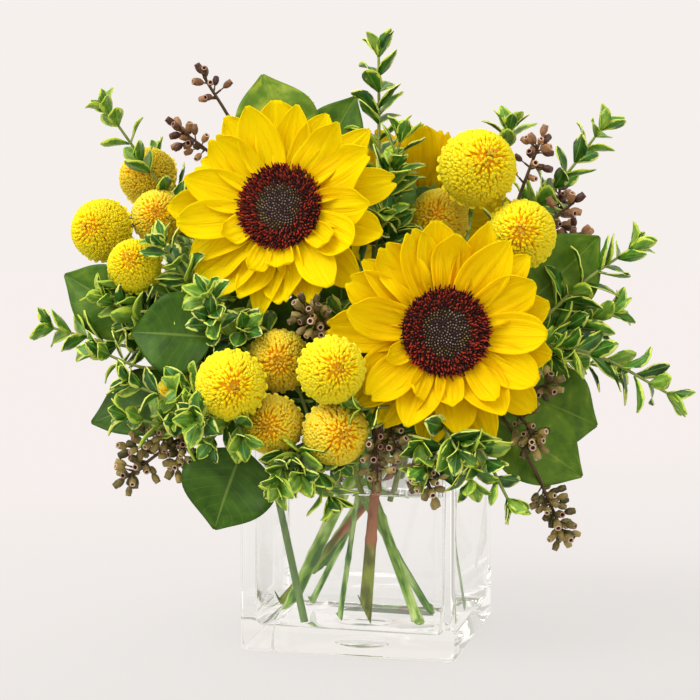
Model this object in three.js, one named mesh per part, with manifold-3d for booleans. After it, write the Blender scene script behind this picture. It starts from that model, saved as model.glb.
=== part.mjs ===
// Sunflowers in a glass cube vase: a florist's arrangement of sunflowers, button chrysanthemums,
// seeded eucalyptus, variegated boxwood and salal leaves, standing in water.
// Millimetres, +Z up. The origin is the middle of the vase's underside, and the vase's faces look
// along X and Y. The bouquet has a front of its own, FACING degrees round from the vase's front.
import * as THREE from 'three';
import { mergeVertices } from 'three/addons/utils/BufferGeometryUtils.js';
import Module from 'manifold-3d';

const wasm = await Module();
wasm.setup();

// Driving dimensions
const VASE_SIDE = 127;
const VASE_HEIGHT = 127;
const WALL = 7.5;
const FLOOR = 14;
const OUTER_CORNER = 4;
const INNER_CORNER = 8;
const EDGE = 4;
const RIM_EDGE = 1.5;
const FLOOR_FILLET = 3;
const WATER_LEVEL = 94;
const GAP = 0.3;
const CLEARANCE = 0.35;
const FACING = THREE.MathUtils.degToRad(14.5);

const DISC_RADIUS = 24.5;
const COLLAR_RADIUS = 24.8;
const COLLAR_DEPTH = 5.0;
const PETAL_LENGTH = 50;
const PETAL_ROOT = 12;
const PETAL_WIDTH = 19;
const PETAL_THICKNESS = 1.2;
const PETALS_A_RING = 13;
const PETAL_ROLL = THREE.MathUtils.degToRad(6);
const BRACTS = 7;
const BRACT_LENGTH = 30;
const BRACT_WIDTH = 10;
const BRACT_THICKNESS = 1.2;
const POM_RADIUS = 18.5;
const POM_FLATNESS = 0.88;
const POM_UNDERSIDE = -0.55;
const POM_SEAT = 0.76;
const FLORET_ROOTS = 0.86;
const FLORET_SPREAD = 0.07;
const BRANCH_RADIUS = 1.2;
const CUP_RADIUS = 4.2;
const CAPSULE_LENGTH = 7;
const CAPSULE_RADIUS = 3;
const CAPSULE_STALK = 2.4;
const CAPSULE_SPACING = 2.4;
const BOX_LEAF_LENGTH = 20;
const BOX_LEAF_WIDTH = 9.5;
const BOX_LEAF_THICKNESS = 1.4;
const SALAL_THICKNESS = 1.4;

// Radii at the foot and at the end of the thin stems
const STALK_RADII = [1.3, 1.1];
const TWIG_RADII = [1.3, 1.1];
const SPRIG_RADII = [1.4, 1.2];
const BOX_STEM_RADII = [1.7, 1.3];

// How many straight segments a stem has above the water
const STEM_STEPS = 4;
const SPRAY_STEPS = 5;
const TWIG_STEPS = 2;

// Colours
const GLASS = 0xe9f1ee;
const WATER = 0xdfeee8;
const LEMON = 0xf7d60d;
const GOLD = 0xf0a90f;
const MAROON = 0x3a1512;
const STEM_GREEN = 0x7c9a4a;
const POM_GREEN = 0x8aa653;
const TWIG_BROWN = 0x6d5a35;
const BOX_GREEN = 0x4f8a35;
const SALAL_GREEN = 0x3f6428;

// A seeded draw of numbers between 0 and 1
function seeded(seed) {
  let state = seed >>> 0;
  return () => {
    state = (state + 0x6d2b79f5) >>> 0;
    let mixed = state;
    mixed = Math.imul(mixed ^ (mixed >>> 15), mixed | 1);
    mixed ^= mixed + Math.imul(mixed ^ (mixed >>> 7), mixed | 61);
    return ((mixed ^ (mixed >>> 14)) >>> 0) / 4294967296;
  };
}

const vec = (point) => new THREE.Vector3(point[0], point[1], point[2]);
const spread = (draw, amount) => (draw() * 2 - 1) * amount;

// A closed skin over a row of rings with the same number of points. A ring of one point is a tip.
function loft(rings) {
  const corners = [];
  const face = (a, b, c) => corners.push(...a.toArray(), ...b.toArray(), ...c.toArray());
  const first = rings[0];
  const last = rings[rings.length - 1];
  for (let k = 1; k + 1 < first.length; k += 1) face(first[0], first[k + 1], first[k]);
  for (let i = 0; i + 1 < rings.length; i += 1) {
    const low = rings[i];
    const high = rings[i + 1];
    const count = Math.max(low.length, high.length);
    for (let k = 0; k < count; k += 1) {
      const next = (k + 1) % count;
      if (high.length === 1) {
        face(low[k], low[next], high[0]);
      } else if (low.length === 1) {
        face(low[0], high[next], high[k]);
      } else {
        face(low[k], low[next], high[next]);
        face(low[k], high[next], high[k]);
      }
    }
  }
  for (let k = 1; k + 1 < last.length; k += 1) face(last[0], last[k], last[k + 1]);
  const geometry = new THREE.BufferGeometry();
  geometry.setAttribute('position', new THREE.Float32BufferAttribute(corners, 3));
  return geometry;
}

// A closed geometry as a solid that can be joined and cut
function toSolid(geometry) {
  const bare = geometry.clone();
  for (const name of Object.keys(bare.attributes)) {
    if (name !== 'position') bare.deleteAttribute(name);
  }
  const merged = mergeVertices(bare, 1e-4);
  return new wasm.Manifold(new wasm.Mesh({
    numProp: 3,
    vertProperties: new Float32Array(merged.attributes.position.array),
    triVerts: new Uint32Array(merged.index.array),
  }));
}

// The solid back as a geometry
function toGeometry(solid) {
  const mesh = solid.getMesh();
  const geometry = new THREE.BufferGeometry();
  geometry.setAttribute('position', new THREE.Float32BufferAttribute(mesh.vertProperties, 3));
  geometry.setIndex(Array.from(mesh.triVerts));
  return geometry;
}

// Everything that stands already, as solids with their boxes and the piece that each is in
const standing = [];

function stand(piece, solid) {
  const box = solid.boundingBox();
  standing.push({ piece, solid, box });
}

function boxesMeet(a, b) {
  for (let axis = 0; axis < 3; axis += 1) {
    if (a.min[axis] > b.max[axis] || a.max[axis] < b.min[axis]) return false;
  }
  return true;
}

function isClear(piece, fat) {
  const box = fat.boundingBox();
  for (const other of standing) {
    if (other.piece !== piece && boxesMeet(box, other.box)) {
      if (fat.intersect(other.solid).volume() > 1e-6) return false;
    }
  }
  return true;
}

// A frame along a direction: side, up and forward, at right angles to each other
function frameAlong(forward, wanted) {
  const ahead = forward.clone().normalize();
  const side = wanted.clone().cross(ahead).normalize();
  const up = ahead.clone().cross(side);
  return { side, up, ahead };
}

// A direction that is never along the given one
const crosswise = (forward) => (Math.abs(forward.z) > 0.9
  ? new THREE.Vector3(1, 0, 0) : new THREE.Vector3(0, 0, 1));

// A smooth line through points, as the stems grow
function lineThrough(points) {
  return new THREE.CatmullRomCurve3(points.map(vec), false, 'catmullrom', 0.5);
}

// Where a stem's straight segments are at a share of its way, and the way they run there
function onStem(points, steps, share) {
  const line = lineThrough(points[0][2] < WATER_LEVEL ? points.slice(1) : points);
  const segment = Math.min(Math.floor(share * steps), steps - 1);
  const low = line.getPoint(segment / steps);
  const high = line.getPoint((segment + 1) / steps);
  return {
    place: low.clone().lerp(high, share * steps - segment),
    way: high.clone().sub(low).normalize(),
  };
}

// The rings of a round stem. A standing stem is straight from its foot to its second point, and
// every stem follows a smooth line from there. Its radius is given at its foot and its end.
function stemRings(points, radii, sides, steps, extra) {
  const standsInWater = points[0][2] < WATER_LEVEL;
  const line = lineThrough(standsInWater ? points.slice(1) : points);
  const chord = vec(points[points.length - 1]).sub(vec(points[0]));
  const outward = Math.abs(chord.y) > Math.max(Math.abs(chord.x), Math.abs(chord.z));
  const wanted = outward ? new THREE.Vector3(1, 0, 0) : new THREE.Vector3(0, 1, 0);
  const ringAt = (centre, tangent, radius) => {
    const { side, up } = frameAlong(tangent, wanted);
    const ring = [];
    for (let k = 0; k < sides; k += 1) {
      const angle = (2 * Math.PI * k) / sides;
      ring.push(centre.clone().addScaledVector(side, radius * Math.cos(angle))
        .addScaledVector(up, radius * Math.sin(angle)));
    }
    return ring;
  };
  const rings = [];
  const foot = vec(points[0]);
  const upward = vec(points[1]).sub(foot);
  if (standsInWater) rings.push(ringAt(foot, upward, radii[0] + extra));
  for (let i = 0; i <= steps; i += 1) {
    const t = i / steps;
    const radius = radii[0] + (radii[1] - radii[0]) * t + extra;
    const along = standsInWater && i === 0 ? upward : line.getTangent(t);
    rings.push(ringAt(line.getPoint(t), along, radius));
  }
  return rings;
}

// A blade: a petal or a leaf. It starts at root, runs along ahead, and its upper face looks along
// up. Each station gives its share of the length, half width and how far its edges are raised.
function bladeRings(root, ahead, up, blade, extra) {
  const { side } = frameAlong(ahead, up);
  const rings = [];
  for (const [share, half, raised] of blade.stations) {
    const angle = blade.curl * share;
    const along = Math.abs(blade.curl) < 1e-6 ? share : Math.sin(angle) / blade.curl;
    const rise = Math.abs(blade.curl) < 1e-6 ? 0 : (1 - Math.cos(angle)) / blade.curl;
    const centre = root.clone().addScaledVector(ahead, along * blade.length)
      .addScaledVector(up, rise * blade.length);
    const tilted = up.clone().multiplyScalar(Math.cos(angle))
      .addScaledVector(ahead, -Math.sin(angle));
    if (half === 0) {
      const onward = ahead.clone().multiplyScalar(Math.cos(angle))
        .addScaledVector(up, Math.sin(angle));
      rings.push([centre.addScaledVector(onward, share === 0 ? 0 : extra)]);
      continue;
    }
    const wide = half * blade.width / 2 + extra;
    const lift = raised * blade.width / 2;
    const right = centre.clone().addScaledVector(side, wide).addScaledVector(tilted, lift + extra);
    const left = centre.clone().addScaledVector(side, -wide).addScaledVector(tilted, lift + extra);
    const keel = centre.clone().addScaledVector(tilted, -blade.thickness - extra);
    if (blade.folded) {
      const crease = centre.clone().addScaledVector(tilted, extra);
      rings.push([right, crease, left, keel]);
    } else {
      rings.push([right, left, keel]);
    }
  }
  return rings;
}

// The ways a blade may bend to stay clear: lift and swing in degrees, and its share of full size
const BENDS = [
  [0, 0, 1], [12, 0, 1], [-12, 0, 1], [0, 16, 1], [0, -16, 1], [24, 0, 1], [-24, 0, 1],
  [12, 24, 1], [12, -24, 1], [-12, 24, 1], [-12, -24, 1], [38, 0, 1], [-38, 0, 1],
  [0, 36, 0.9], [0, -36, 0.9], [0, 0, 0.75], [20, 0, 0.75], [-20, 0, 0.75],
  [30, 30, 0.75], [30, -30, 0.75], [-30, 30, 0.75], [-30, -30, 0.75], [55, 0, 0.75], [-55, 0, 0.75],
];

function bent(ahead, up, bend) {
  const { side } = frameAlong(ahead, up);
  const lift = THREE.MathUtils.degToRad(bend[0]);
  const swing = THREE.MathUtils.degToRad(bend[1]);
  const turned = ahead.clone().applyAxisAngle(side, -lift).applyAxisAngle(up, swing);
  const raised = up.clone().applyAxisAngle(side, -lift);
  return { ahead: turned.normalize(), up: raised.normalize() };
}

// A blade joined to a piece, in the first way of bending that keeps it clear of its neighbours.
// One that is never clear is left off.
function growBlade(piece, root, ahead, up, blade) {
  for (const bend of BENDS) {
    const way = bent(ahead, up, bend);
    const sized = { ...blade, length: blade.length * bend[2], width: blade.width * bend[2] };
    const fat = toSolid(loft(bladeRings(root, way.ahead, way.up, sized, CLEARANCE)));
    if (isClear(piece, fat)) {
      const solid = toSolid(loft(bladeRings(root, way.ahead, way.up, sized, 0)));
      piece.solids.push(solid);
      stand(piece, solid);
      return;
    }
  }
}

// The pieces of the bouquet, in the order that they are arranged
const pieces = [];

function newPiece(name, colour, roughness) {
  const piece = { name, colour, roughness, solids: [] };
  pieces.push(piece);
  return piece;
}

function addSolid(piece, geometry) {
  const solid = toSolid(geometry);
  piece.solids.push(solid);
  stand(piece, solid);
  return solid;
}

// The stems that stand in the water
const wetStems = [];

// How far a stem may be pushed aside, across and back, to pass its neighbours
const SHIFTS = [
  [0, 0], [3, 0], [-3, 0], [0, 3], [0, -3], [4, 4], [-4, 4], [4, -4], [-4, -4],
  [7, 0], [-7, 0], [0, 7], [0, -7], [7, 7], [-7, 7], [7, -7], [-7, -7],
  [11, 0], [-11, 0], [0, 11], [0, -11], [11, 8], [-11, 8], [11, -8], [-11, -8],
];

// A stem joined to a piece. Its last point stays, and the points from firstFree on are pushed
// aside in the first way that keeps it clear. It returns its points as they were used.
function growStem(piece, points, radii, sides, steps, firstFree) {
  const used = clearWay(piece, points, radii, sides, steps, firstFree);
  addSolid(piece, loft(stemRings(used, radii, sides, steps, 0)));
  if (used[0][2] < WATER_LEVEL) wetStems.push({ points: used, radii, sides, steps });
  return used;
}

function clearWay(piece, points, radii, sides, steps, firstFree) {
  for (const [across, back] of SHIFTS) {
    const used = points.map((point, index) => {
      const fixed = index < firstFree || index === points.length - 1;
      return fixed ? point : [point[0] + across, point[1] + back, point[2]];
    });
    const fat = toSolid(loft(stemRings(used, radii, sides, steps, CLEARANCE)));
    if (isClear(piece, fat)) return used;
  }
  return points;
}

// The vase: rounded squares, up the outside, over the rim, down the inside to the floor
function roundedSquare(side, corner, z) {
  const segments = 3;
  const reach = side / 2 - corner;
  const ring = [];
  for (let quarter = 0; quarter < 4; quarter += 1) {
    const middle = Math.PI / 4 + (quarter * Math.PI) / 2;
    const cx = reach * Math.sign(Math.cos(middle));
    const cy = reach * Math.sign(Math.sin(middle));
    for (let k = 0; k <= segments; k += 1) {
      const angle = (quarter * Math.PI) / 2 + (k * Math.PI) / 2 / segments;
      ring.push(new THREE.Vector3(cx + corner * Math.cos(angle), cy + corner * Math.sin(angle), z));
    }
  }
  return ring;
}

function vaseGeometry() {
  const inside = VASE_SIDE - 2 * WALL;
  return loft([
    roundedSquare(VASE_SIDE - 2 * EDGE, OUTER_CORNER, 0),
    roundedSquare(VASE_SIDE - 0.6 * EDGE, OUTER_CORNER, 0.3 * EDGE),
    roundedSquare(VASE_SIDE, OUTER_CORNER, EDGE),
    roundedSquare(VASE_SIDE, OUTER_CORNER, VASE_HEIGHT - RIM_EDGE),
    roundedSquare(VASE_SIDE - 2 * RIM_EDGE, OUTER_CORNER, VASE_HEIGHT),
    roundedSquare(inside + 2 * RIM_EDGE, INNER_CORNER, VASE_HEIGHT),
    roundedSquare(inside, INNER_CORNER, VASE_HEIGHT - RIM_EDGE),
    roundedSquare(inside, INNER_CORNER, FLOOR + FLOOR_FILLET),
    roundedSquare(inside - 2 * FLOOR_FILLET, INNER_CORNER, FLOOR),
  ]);
}

function waterGeometry() {
  const side = VASE_SIDE - 2 * WALL - 2 * GAP;
  return loft([
    roundedSquare(side - 2 * FLOOR_FILLET, INNER_CORNER, FLOOR + GAP),
    roundedSquare(side, INNER_CORNER, FLOOR + FLOOR_FILLET + GAP),
    roundedSquare(side, INNER_CORNER, WATER_LEVEL),
  ]);
}

const vase = newPiece('vase', GLASS, 0.05);
addSolid(vase, vaseGeometry().rotateZ(-FACING));

// Sunflowers. Points are across, back and up in the bouquet's own front view.
const SUNFLOWERS = [
  {
    name: 'sunflower_a', seed: 11, colour: LEMON, centre: [-52, -60, 257], turn: -15, tilt: 12,
    stem: [[29, -42, 15.5], [0, -29, 97], [-10, -27, 130], [-32, -18, 195]], radius: 2.9,
  },
  {
    name: 'sunflower_b', seed: 12, colour: GOLD, centre: [39.5, -86, 188], turn: 3, tilt: 4,
    stem: [[-47, -12, 17], [-11, -20, 97], [3, -22, 128], [22, -30, 160]], radius: 3.7,
  },
  {
    name: 'sunflower_c', seed: 13, colour: GOLD, centre: [31, 50, 258], turn: 172, tilt: 38,
    stem: [[-29, 12, 36], [7, 5, 97], [13, 10, 128], [20, 22, 190]], radius: 3.2,
  },
];

// Which way a head faces, from its turn off the front and its tilt up
function facing(turn, tilt) {
  const a = THREE.MathUtils.degToRad(turn);
  const e = THREE.MathUtils.degToRad(tilt);
  return new THREE.Vector3(Math.sin(a) * Math.cos(e), -Math.cos(a) * Math.cos(e), Math.sin(e));
}

// A ring round a head's axis, at a radius and a height along the axis
function headRing(head, radius, height, sides, ripple) {
  const ring = [];
  for (let k = 0; k < sides; k += 1) {
    const angle = (2 * Math.PI * k) / sides;
    const lift = height + (k % 2 === 0 ? ripple : -ripple);
    ring.push(head.centre.clone().addScaledVector(head.side, radius * Math.cos(angle))
      .addScaledVector(head.up, radius * Math.sin(angle)).addScaledVector(head.face, lift));
  }
  return ring;
}

function headOf(centre, turn, tilt) {
  const face = facing(turn, tilt);
  const { side, up } = frameAlong(face, new THREE.Vector3(0, 0, 1));
  return { centre: vec(centre), face, side, up };
}

// The seed disc: a raised ring of florets round a finer middle, in relief. Each ring has its
// radius, its height and how far its points go up and down by turns.
const DISC_SIDES = 14;
const DISC_TOP = 5.4;
const DISC_RINGS = [
  [DISC_RADIUS - 1.5, GAP, 0],
  [DISC_RADIUS, 1.8, 0.5],
  [20.5, 5.6, -0.9],
  [17, 6.6, 0.9],
  [13.5, 5.6, -0.9],
  [9.5, 4.6, 0.5],
  [5, 5.2, -0.4],
];

function growDisc(piece, head) {
  addSolid(piece, loft([
    ...DISC_RINGS.map(([radius, height, ripple]) => (
      headRing(head, radius, height, DISC_SIDES, ripple))),
    [head.centre.clone().addScaledVector(head.face, DISC_TOP)],
  ]));
}

// A petal of the outer layers. Its round tip is one station before the end.
function petalBlade(length, curl, width) {
  return {
    length,
    width,
    thickness: PETAL_THICKNESS,
    curl,
    folded: false,
    stations: [[0, 0, 0], [0.58, 1, 0.1], [0.87, 0.8, 0.14], [1, 0, 0]],
  };
}

// The front and the back ring of petals: where their roots are on the head's axis, how steeply
// they rise, their share of a petal's length and how much they curl
const PETAL_RINGS = [
  { root: -2.7, rise: 0.07, share: 0.97, curl: 0.42 },
  { root: -4.2, rise: -0.02, share: 1.03, curl: 0.14 },
];

function growPetals(piece, head, seed) {
  const draw = seeded(seed);
  addSolid(piece, loft([
    headRing(head, COLLAR_RADIUS - 1, -COLLAR_DEPTH, PETALS_A_RING, 0),
    headRing(head, COLLAR_RADIUS, 0, PETALS_A_RING, 0),
  ]));
  PETAL_RINGS.forEach((ring, layer) => {
    for (let k = 0; k < PETALS_A_RING; k += 1) {
      const angle = (2 * Math.PI * (k + layer / 2)) / PETALS_A_RING + spread(draw, 0.04);
      const ahead = head.side.clone().multiplyScalar(Math.cos(angle))
        .addScaledVector(head.up, Math.sin(angle));
      const length = PETAL_LENGTH * (1 + spread(draw, 0.09)) * ring.share;
      const curl = ring.curl + spread(draw, 0.1);
      const root = head.centre.clone().addScaledVector(ahead, PETAL_ROOT)
        .addScaledVector(head.face, ring.root);
      const way = ahead.clone().addScaledVector(head.face, ring.rise).normalize();
      const { up } = frameAlong(way, head.face.clone().applyAxisAngle(ahead, PETAL_ROLL));
      growBlade(piece, root, way, up, petalBlade(length, curl, PETAL_WIDTH));
    }
  });
}

// The green calyx on its stem: the radius and the height of each ring of its cup
const CALYX_SIDES = 9;
const CALYX_RINGS = [[4, -18], [13, -12.5], [21, -7.5], [21.6, -COLLAR_DEPTH - GAP]];

function growSunflowerStem(piece, flower, head) {
  const back = (distance) => head.centre.clone().addScaledVector(head.face, -distance).toArray();
  const knee = back(40);
  knee[2] -= 10;
  const points = [...flower.stem, knee, back(14)];
  growStem(piece, points, [flower.radius, flower.radius + 0.4], 6, 5, points.length);
  addSolid(piece, loft(CALYX_RINGS.map(([radius, height]) => (
    headRing(head, radius, height, CALYX_SIDES, 0)))));
}

// The pointed bracts of the calyx, behind the petals
function growBracts(piece, head, seed) {
  const draw = seeded(seed + 50);
  for (let k = 0; k < BRACTS; k += 1) {
    const angle = (2 * Math.PI * k) / BRACTS + spread(draw, 0.12);
    const out = head.side.clone().multiplyScalar(Math.cos(angle))
      .addScaledVector(head.up, Math.sin(angle));
    const ahead = out.clone().multiplyScalar(0.93).addScaledVector(head.face, -0.37).normalize();
    const { up } = frameAlong(ahead, head.face);
    const root = head.centre.clone().addScaledVector(out, 12).addScaledVector(head.face, -7.4);
    growBlade(piece, root, ahead, up, {
      length: BRACT_LENGTH + spread(draw, 3),
      width: BRACT_WIDTH,
      thickness: BRACT_THICKNESS,
      curl: -0.5,
      folded: false,
      stations: [[0, 0, 0], [0.5, 1, 0.1], [1, 0, 0]],
    });
  }
}

// Button chrysanthemums: centre, size, turn and tilt of each head. The first 13 show from the
// front, and the rest fill the back.
const POMS = [
  { name: 'pom_left_1', at: [-160, -15, 245], size: 0.97, turn: -22, tilt: 14, colour: LEMON },
  { name: 'pom_left_2', at: [-137, 22, 278], size: 0.95, turn: -30, tilt: 30, colour: GOLD },
  { name: 'pom_left_3', at: [-127, -12, 253], size: 0.84, turn: -10, tilt: 12, colour: GOLD },
  { name: 'pom_left_4', at: [-137, -44, 224], size: 0.82, turn: -8, tilt: 12, colour: LEMON },
  { name: 'pom_right_1', at: [60, -45, 280], size: 1.16, turn: 4, tilt: 10, colour: LEMON },
  { name: 'pom_right_2', at: [40, -14, 252], size: 0.92, turn: -12, tilt: 18, colour: GOLD },
  { name: 'pom_right_3', at: [85, -50, 242], size: 1.03, turn: 4, tilt: 4, colour: LEMON },
  { name: 'pom_front_1', at: [-78, -97, 160], size: 1.0, turn: -4, tilt: 6, colour: LEMON },
  { name: 'pom_front_2', at: [-53, -66, 171], size: 0.92, turn: 2, tilt: 8, colour: GOLD },
  { name: 'pom_front_3', at: [-23, -99, 168], size: 0.96, turn: 4, tilt: -2, colour: LEMON },
  { name: 'pom_front_4', at: [-56, -80, 136], size: 0.88, turn: -2, tilt: -8, colour: GOLD },
  { name: 'pom_front_5', at: [-21, -86, 132], size: 0.95, turn: 2, tilt: -8, colour: GOLD },
  { name: 'pom_front_6', at: [-109, -56, 147], size: 0.88, turn: -20, tilt: 4, colour: GOLD },
  { name: 'pom_back_1', at: [-70, 62, 246], size: 1.0, turn: 208, tilt: 32, colour: LEMON },
  { name: 'pom_back_2', at: [-30, 96, 190], size: 1.02, turn: 190, tilt: 12, colour: GOLD },
  { name: 'pom_back_3', at: [46, 104, 176], size: 1.0, turn: 165, tilt: 12, colour: LEMON },
];

// A pom head in relief: every face of a faceted ball is raised to a floret's point
function growPom(piece, pom, seed) {
  const draw = seeded(seed);
  const radius = POM_RADIUS * pom.size;
  const head = headOf(pom.at, pom.turn, pom.tilt);
  const ball = new THREE.IcosahedronGeometry(1, 1).attributes.position;
  const corners = [];
  const seat = -POM_SEAT * radius;
  const place = (point, size) => {
    const height = Math.max(point.z * size * POM_FLATNESS, seat);
    return head.centre.clone().addScaledVector(head.side, point.x * size)
      .addScaledVector(head.up, point.y * size).addScaledVector(head.face, height).toArray();
  };
  for (let i = 0; i < ball.count; i += 3) {
    const rim = [0, 1, 2].map((k) => new THREE.Vector3().fromBufferAttribute(ball, i + k));
    const tip = rim[0].clone().add(rim[1]).add(rim[2]).normalize();
    const top = place(tip, radius * (1 - FLORET_SPREAD * draw()));
    const low = rim.map((point) => place(point, radius * FLORET_ROOTS));
    if (tip.z < POM_UNDERSIDE) {
      corners.push(...low[0], ...low[1], ...low[2]);
    } else {
      for (let k = 0; k < 3; k += 1) corners.push(...low[k], ...low[(k + 1) % 3], ...top);
    }
  }
  const geometry = new THREE.BufferGeometry();
  geometry.setAttribute('position', new THREE.Float32BufferAttribute(corners, 3));
  addSolid(piece, geometry);
  return { head, seat };
}

// The sprays that carry the poms: a main stem and a branch to each head
const SPRAYS = [
  {
    name: 'spray_front', heads: 'pom_front', radius: 1.7,
    stem: [[-17, -30, 16], [-6, -38, 97], [-8, -42, 128], [-26, -46, 146]],
  },
  {
    name: 'spray_left', heads: 'pom_left', radius: 2.2,
    stem: [[38, -16, 18], [-8, -11, 97], [-20, -5, 130], [-62, 8, 178], [-104, 8, 214]],
  },
  {
    name: 'spray_right', heads: 'pom_right', radius: 1.9,
    stem: [[-31, 24, 16], [8, 17, 97], [18, 16, 128], [34, 4, 180], [50, 0, 215]],
  },
  {
    name: 'spray_back', heads: 'pom_back', radius: 1.9,
    stem: [[0, 32, 84], [-1, 36, 128], [0, 48, 150]],
  },
];

const stemPieces = new Map();
const heads = new Map();

for (const flower of SUNFLOWERS) {
  const head = headOf(flower.centre, flower.turn, flower.tilt);
  heads.set(flower.name, head);
  const stem = newPiece(`${flower.name}_stem`, STEM_GREEN, 0.6);
  stemPieces.set(flower.name, stem);
  growSunflowerStem(stem, flower, head);
}

SPRAYS.forEach((spray) => {
  const stem = newPiece(spray.name, POM_GREEN, 0.6);
  stemPieces.set(spray.name, stem);
  const radii = [spray.radius, spray.radius * 0.8];
  growStem(stem, spray.stem, radii, 5, SPRAY_STEPS, spray.stem.length);
});

POMS.forEach((pom, index) => {
  const piece = newPiece(pom.name, pom.colour, 0.75);
  heads.set(pom.name, growPom(piece, pom, 100 + index));
});

SUNFLOWERS.forEach((flower) => {
  const disc = newPiece(`${flower.name}_disc`, MAROON, 0.9);
  growDisc(disc, heads.get(flower.name));
});

SUNFLOWERS.forEach((flower) => {
  const petals = newPiece(`${flower.name}_petals`, flower.colour, 0.6);
  growPetals(petals, heads.get(flower.name), flower.seed);
  growBracts(stemPieces.get(flower.name), heads.get(flower.name), flower.seed);
});

// Each branch of a spray leaves the main stem and ends in a small flared cup behind its head
for (const spray of SPRAYS) {
  const stem = stemPieces.get(spray.name);
  const branches = POMS.filter((pom) => pom.name.startsWith(spray.heads));
  branches.forEach((pom, index) => {
    const { head, seat } = heads.get(pom.name);
    const start = onStem(spray.stem, SPRAY_STEPS, 0.99 - 0.07 * index).place;
    const neck = head.centre.clone().addScaledVector(head.face, seat - 5);
    const middle = start.clone().lerp(neck, 0.55);
    middle.z -= 3;
    const points = [start.toArray(), middle.toArray(), neck.toArray()];
    const used = clearWay(stem, points, [BRANCH_RADIUS, BRANCH_RADIUS], 4, TWIG_STEPS, 1);
    addSolid(stem, loft([
      ...stemRings(used, [BRANCH_RADIUS, BRANCH_RADIUS], 4, TWIG_STEPS, 0),
      headRing(head, CUP_RADIUS, seat - GAP, 4, 0),
    ]));
  });
}

// Salal: each stem with its broad leaves, each leaf from its base to its tip, and where it faces
const SALAL = [
  {
    name: 'salal_left', radius: 2.4,
    stem: [[-38, -38, 16], [-55, -27, 97], [-58, -24, 130], [-76, -34, 154]], fixed: 4,
    leaves: [
      { base: [-90, -66, 184], tip: [-137, -68, 188], up: [-0.1, -0.9, 0.2], width: 40 },
      { base: [-73, -76, 122], tip: [-90, -84, 78], up: [-0.25, -0.95, -0.1], width: 46 },
      { base: [-104, -34, 150], tip: [-166, -48, 146], up: [-0.1, -0.75, 0.6], width: 40 },
    ],
  },
  {
    name: 'salal_upper_left', radius: 1.6,
    stem: [[-13, 17, 86], [-22, 16, 128], [-72, 12, 160], [-122, -8, 186]], fixed: 1,
    leaves: [
      { base: [-128, -34, 190], tip: [-176, -26, 233], up: [-0.2, -0.95, -0.1], width: 36 },
    ],
  },
  {
    name: 'salal_top', radius: 1.6,
    stem: [[-6, 2, 86], [-10, 4, 128], [-34, 0, 200], [-46, -6, 262]], fixed: 1,
    leaves: [
      { base: [-50, -18, 283], tip: [-64, -16, 338], up: [0.1, -0.95, 0.2], width: 42 },
      { base: [-36, -4, 276], tip: [-10, -8, 325], up: [0.1, -0.9, 0.3], width: 32 },
    ],
  },
  {
    name: 'salal_right', radius: 1.8,
    stem: [[24, -4, 86], [34, -4, 128], [58, -8, 146], [76, -14, 160]], fixed: 1,
    leaves: [
      { base: [90, -22, 200], tip: [136, -22, 241], up: [0.3, -0.9, 0.2], width: 40 },
      { base: [88, -24, 148], tip: [138, -16, 130], up: [0.2, -0.9, 0.35], width: 42 },
      { base: [70, -46, 136], tip: [124, -48, 103], up: [0.15, -0.95, 0.2], width: 40 },
    ],
  },
  {
    name: 'salal_back_left', radius: 1.8,
    stem: [[-12, 40, 86], [-18, 46, 128], [-52, 74, 150], [-76, 92, 158]], fixed: 1,
    leaves: [
      { base: [-84, 100, 150], tip: [-120, 122, 110], up: [-0.3, 0.9, 0.3], width: 44 },
      { base: [-92, 82, 184], tip: [-146, 78, 212], up: [-0.4, 0.8, 0.4], width: 38 },
    ],
  },
  {
    name: 'salal_back_right', radius: 1.8,
    stem: [[20, 44, 86], [26, 50, 128], [52, 74, 146], [78, 90, 156]], fixed: 1,
    leaves: [
      { base: [84, 98, 142], tip: [122, 114, 100], up: [0.3, 0.9, 0.3], width: 44 },
      { base: [96, 84, 178], tip: [148, 66, 200], up: [0.4, 0.8, 0.4], width: 38 },
    ],
  },
  {
    name: 'salal_back', radius: 1.6,
    stem: [[6, 42, 86], [8, 54, 128], [8, 78, 150], [6, 92, 150]], fixed: 1,
    leaves: [
      { base: [4, 100, 146], tip: [2, 132, 96], up: [0.05, 0.9, 0.4], width: 46 },
      { base: [-4, 84, 210], tip: [-14, 122, 252], up: [-0.1, 0.8, -0.5], width: 38 },
    ],
  },
];

function growSalal(spec) {
  const piece = newPiece(spec.name, SALAL_GREEN, 0.45);
  const used = growStem(piece, spec.stem, [spec.radius, spec.radius * 0.8], 5, STEM_STEPS, spec.fixed);
  spec.leaves.forEach((leaf, index) => {
    const root = onStem(used, STEM_STEPS, 0.98 - 0.1 * index).place;
    const base = vec(leaf.base);
    const ahead = vec(leaf.tip).sub(base);
    const length = ahead.length();
    ahead.normalize();
    const { up } = frameAlong(ahead, vec(leaf.up));
    growLeaf(piece, root, base, ahead, up, {
      length,
      width: leaf.width,
      thickness: SALAL_THICKNESS,
      curl: -0.3,
      folded: true,
      stations: [[0.12, 0.66, 0.1], [0.4, 1, 0.18], [0.74, 0.74, 0.16], [1, 0, 0]],
    });
  });
}

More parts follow.
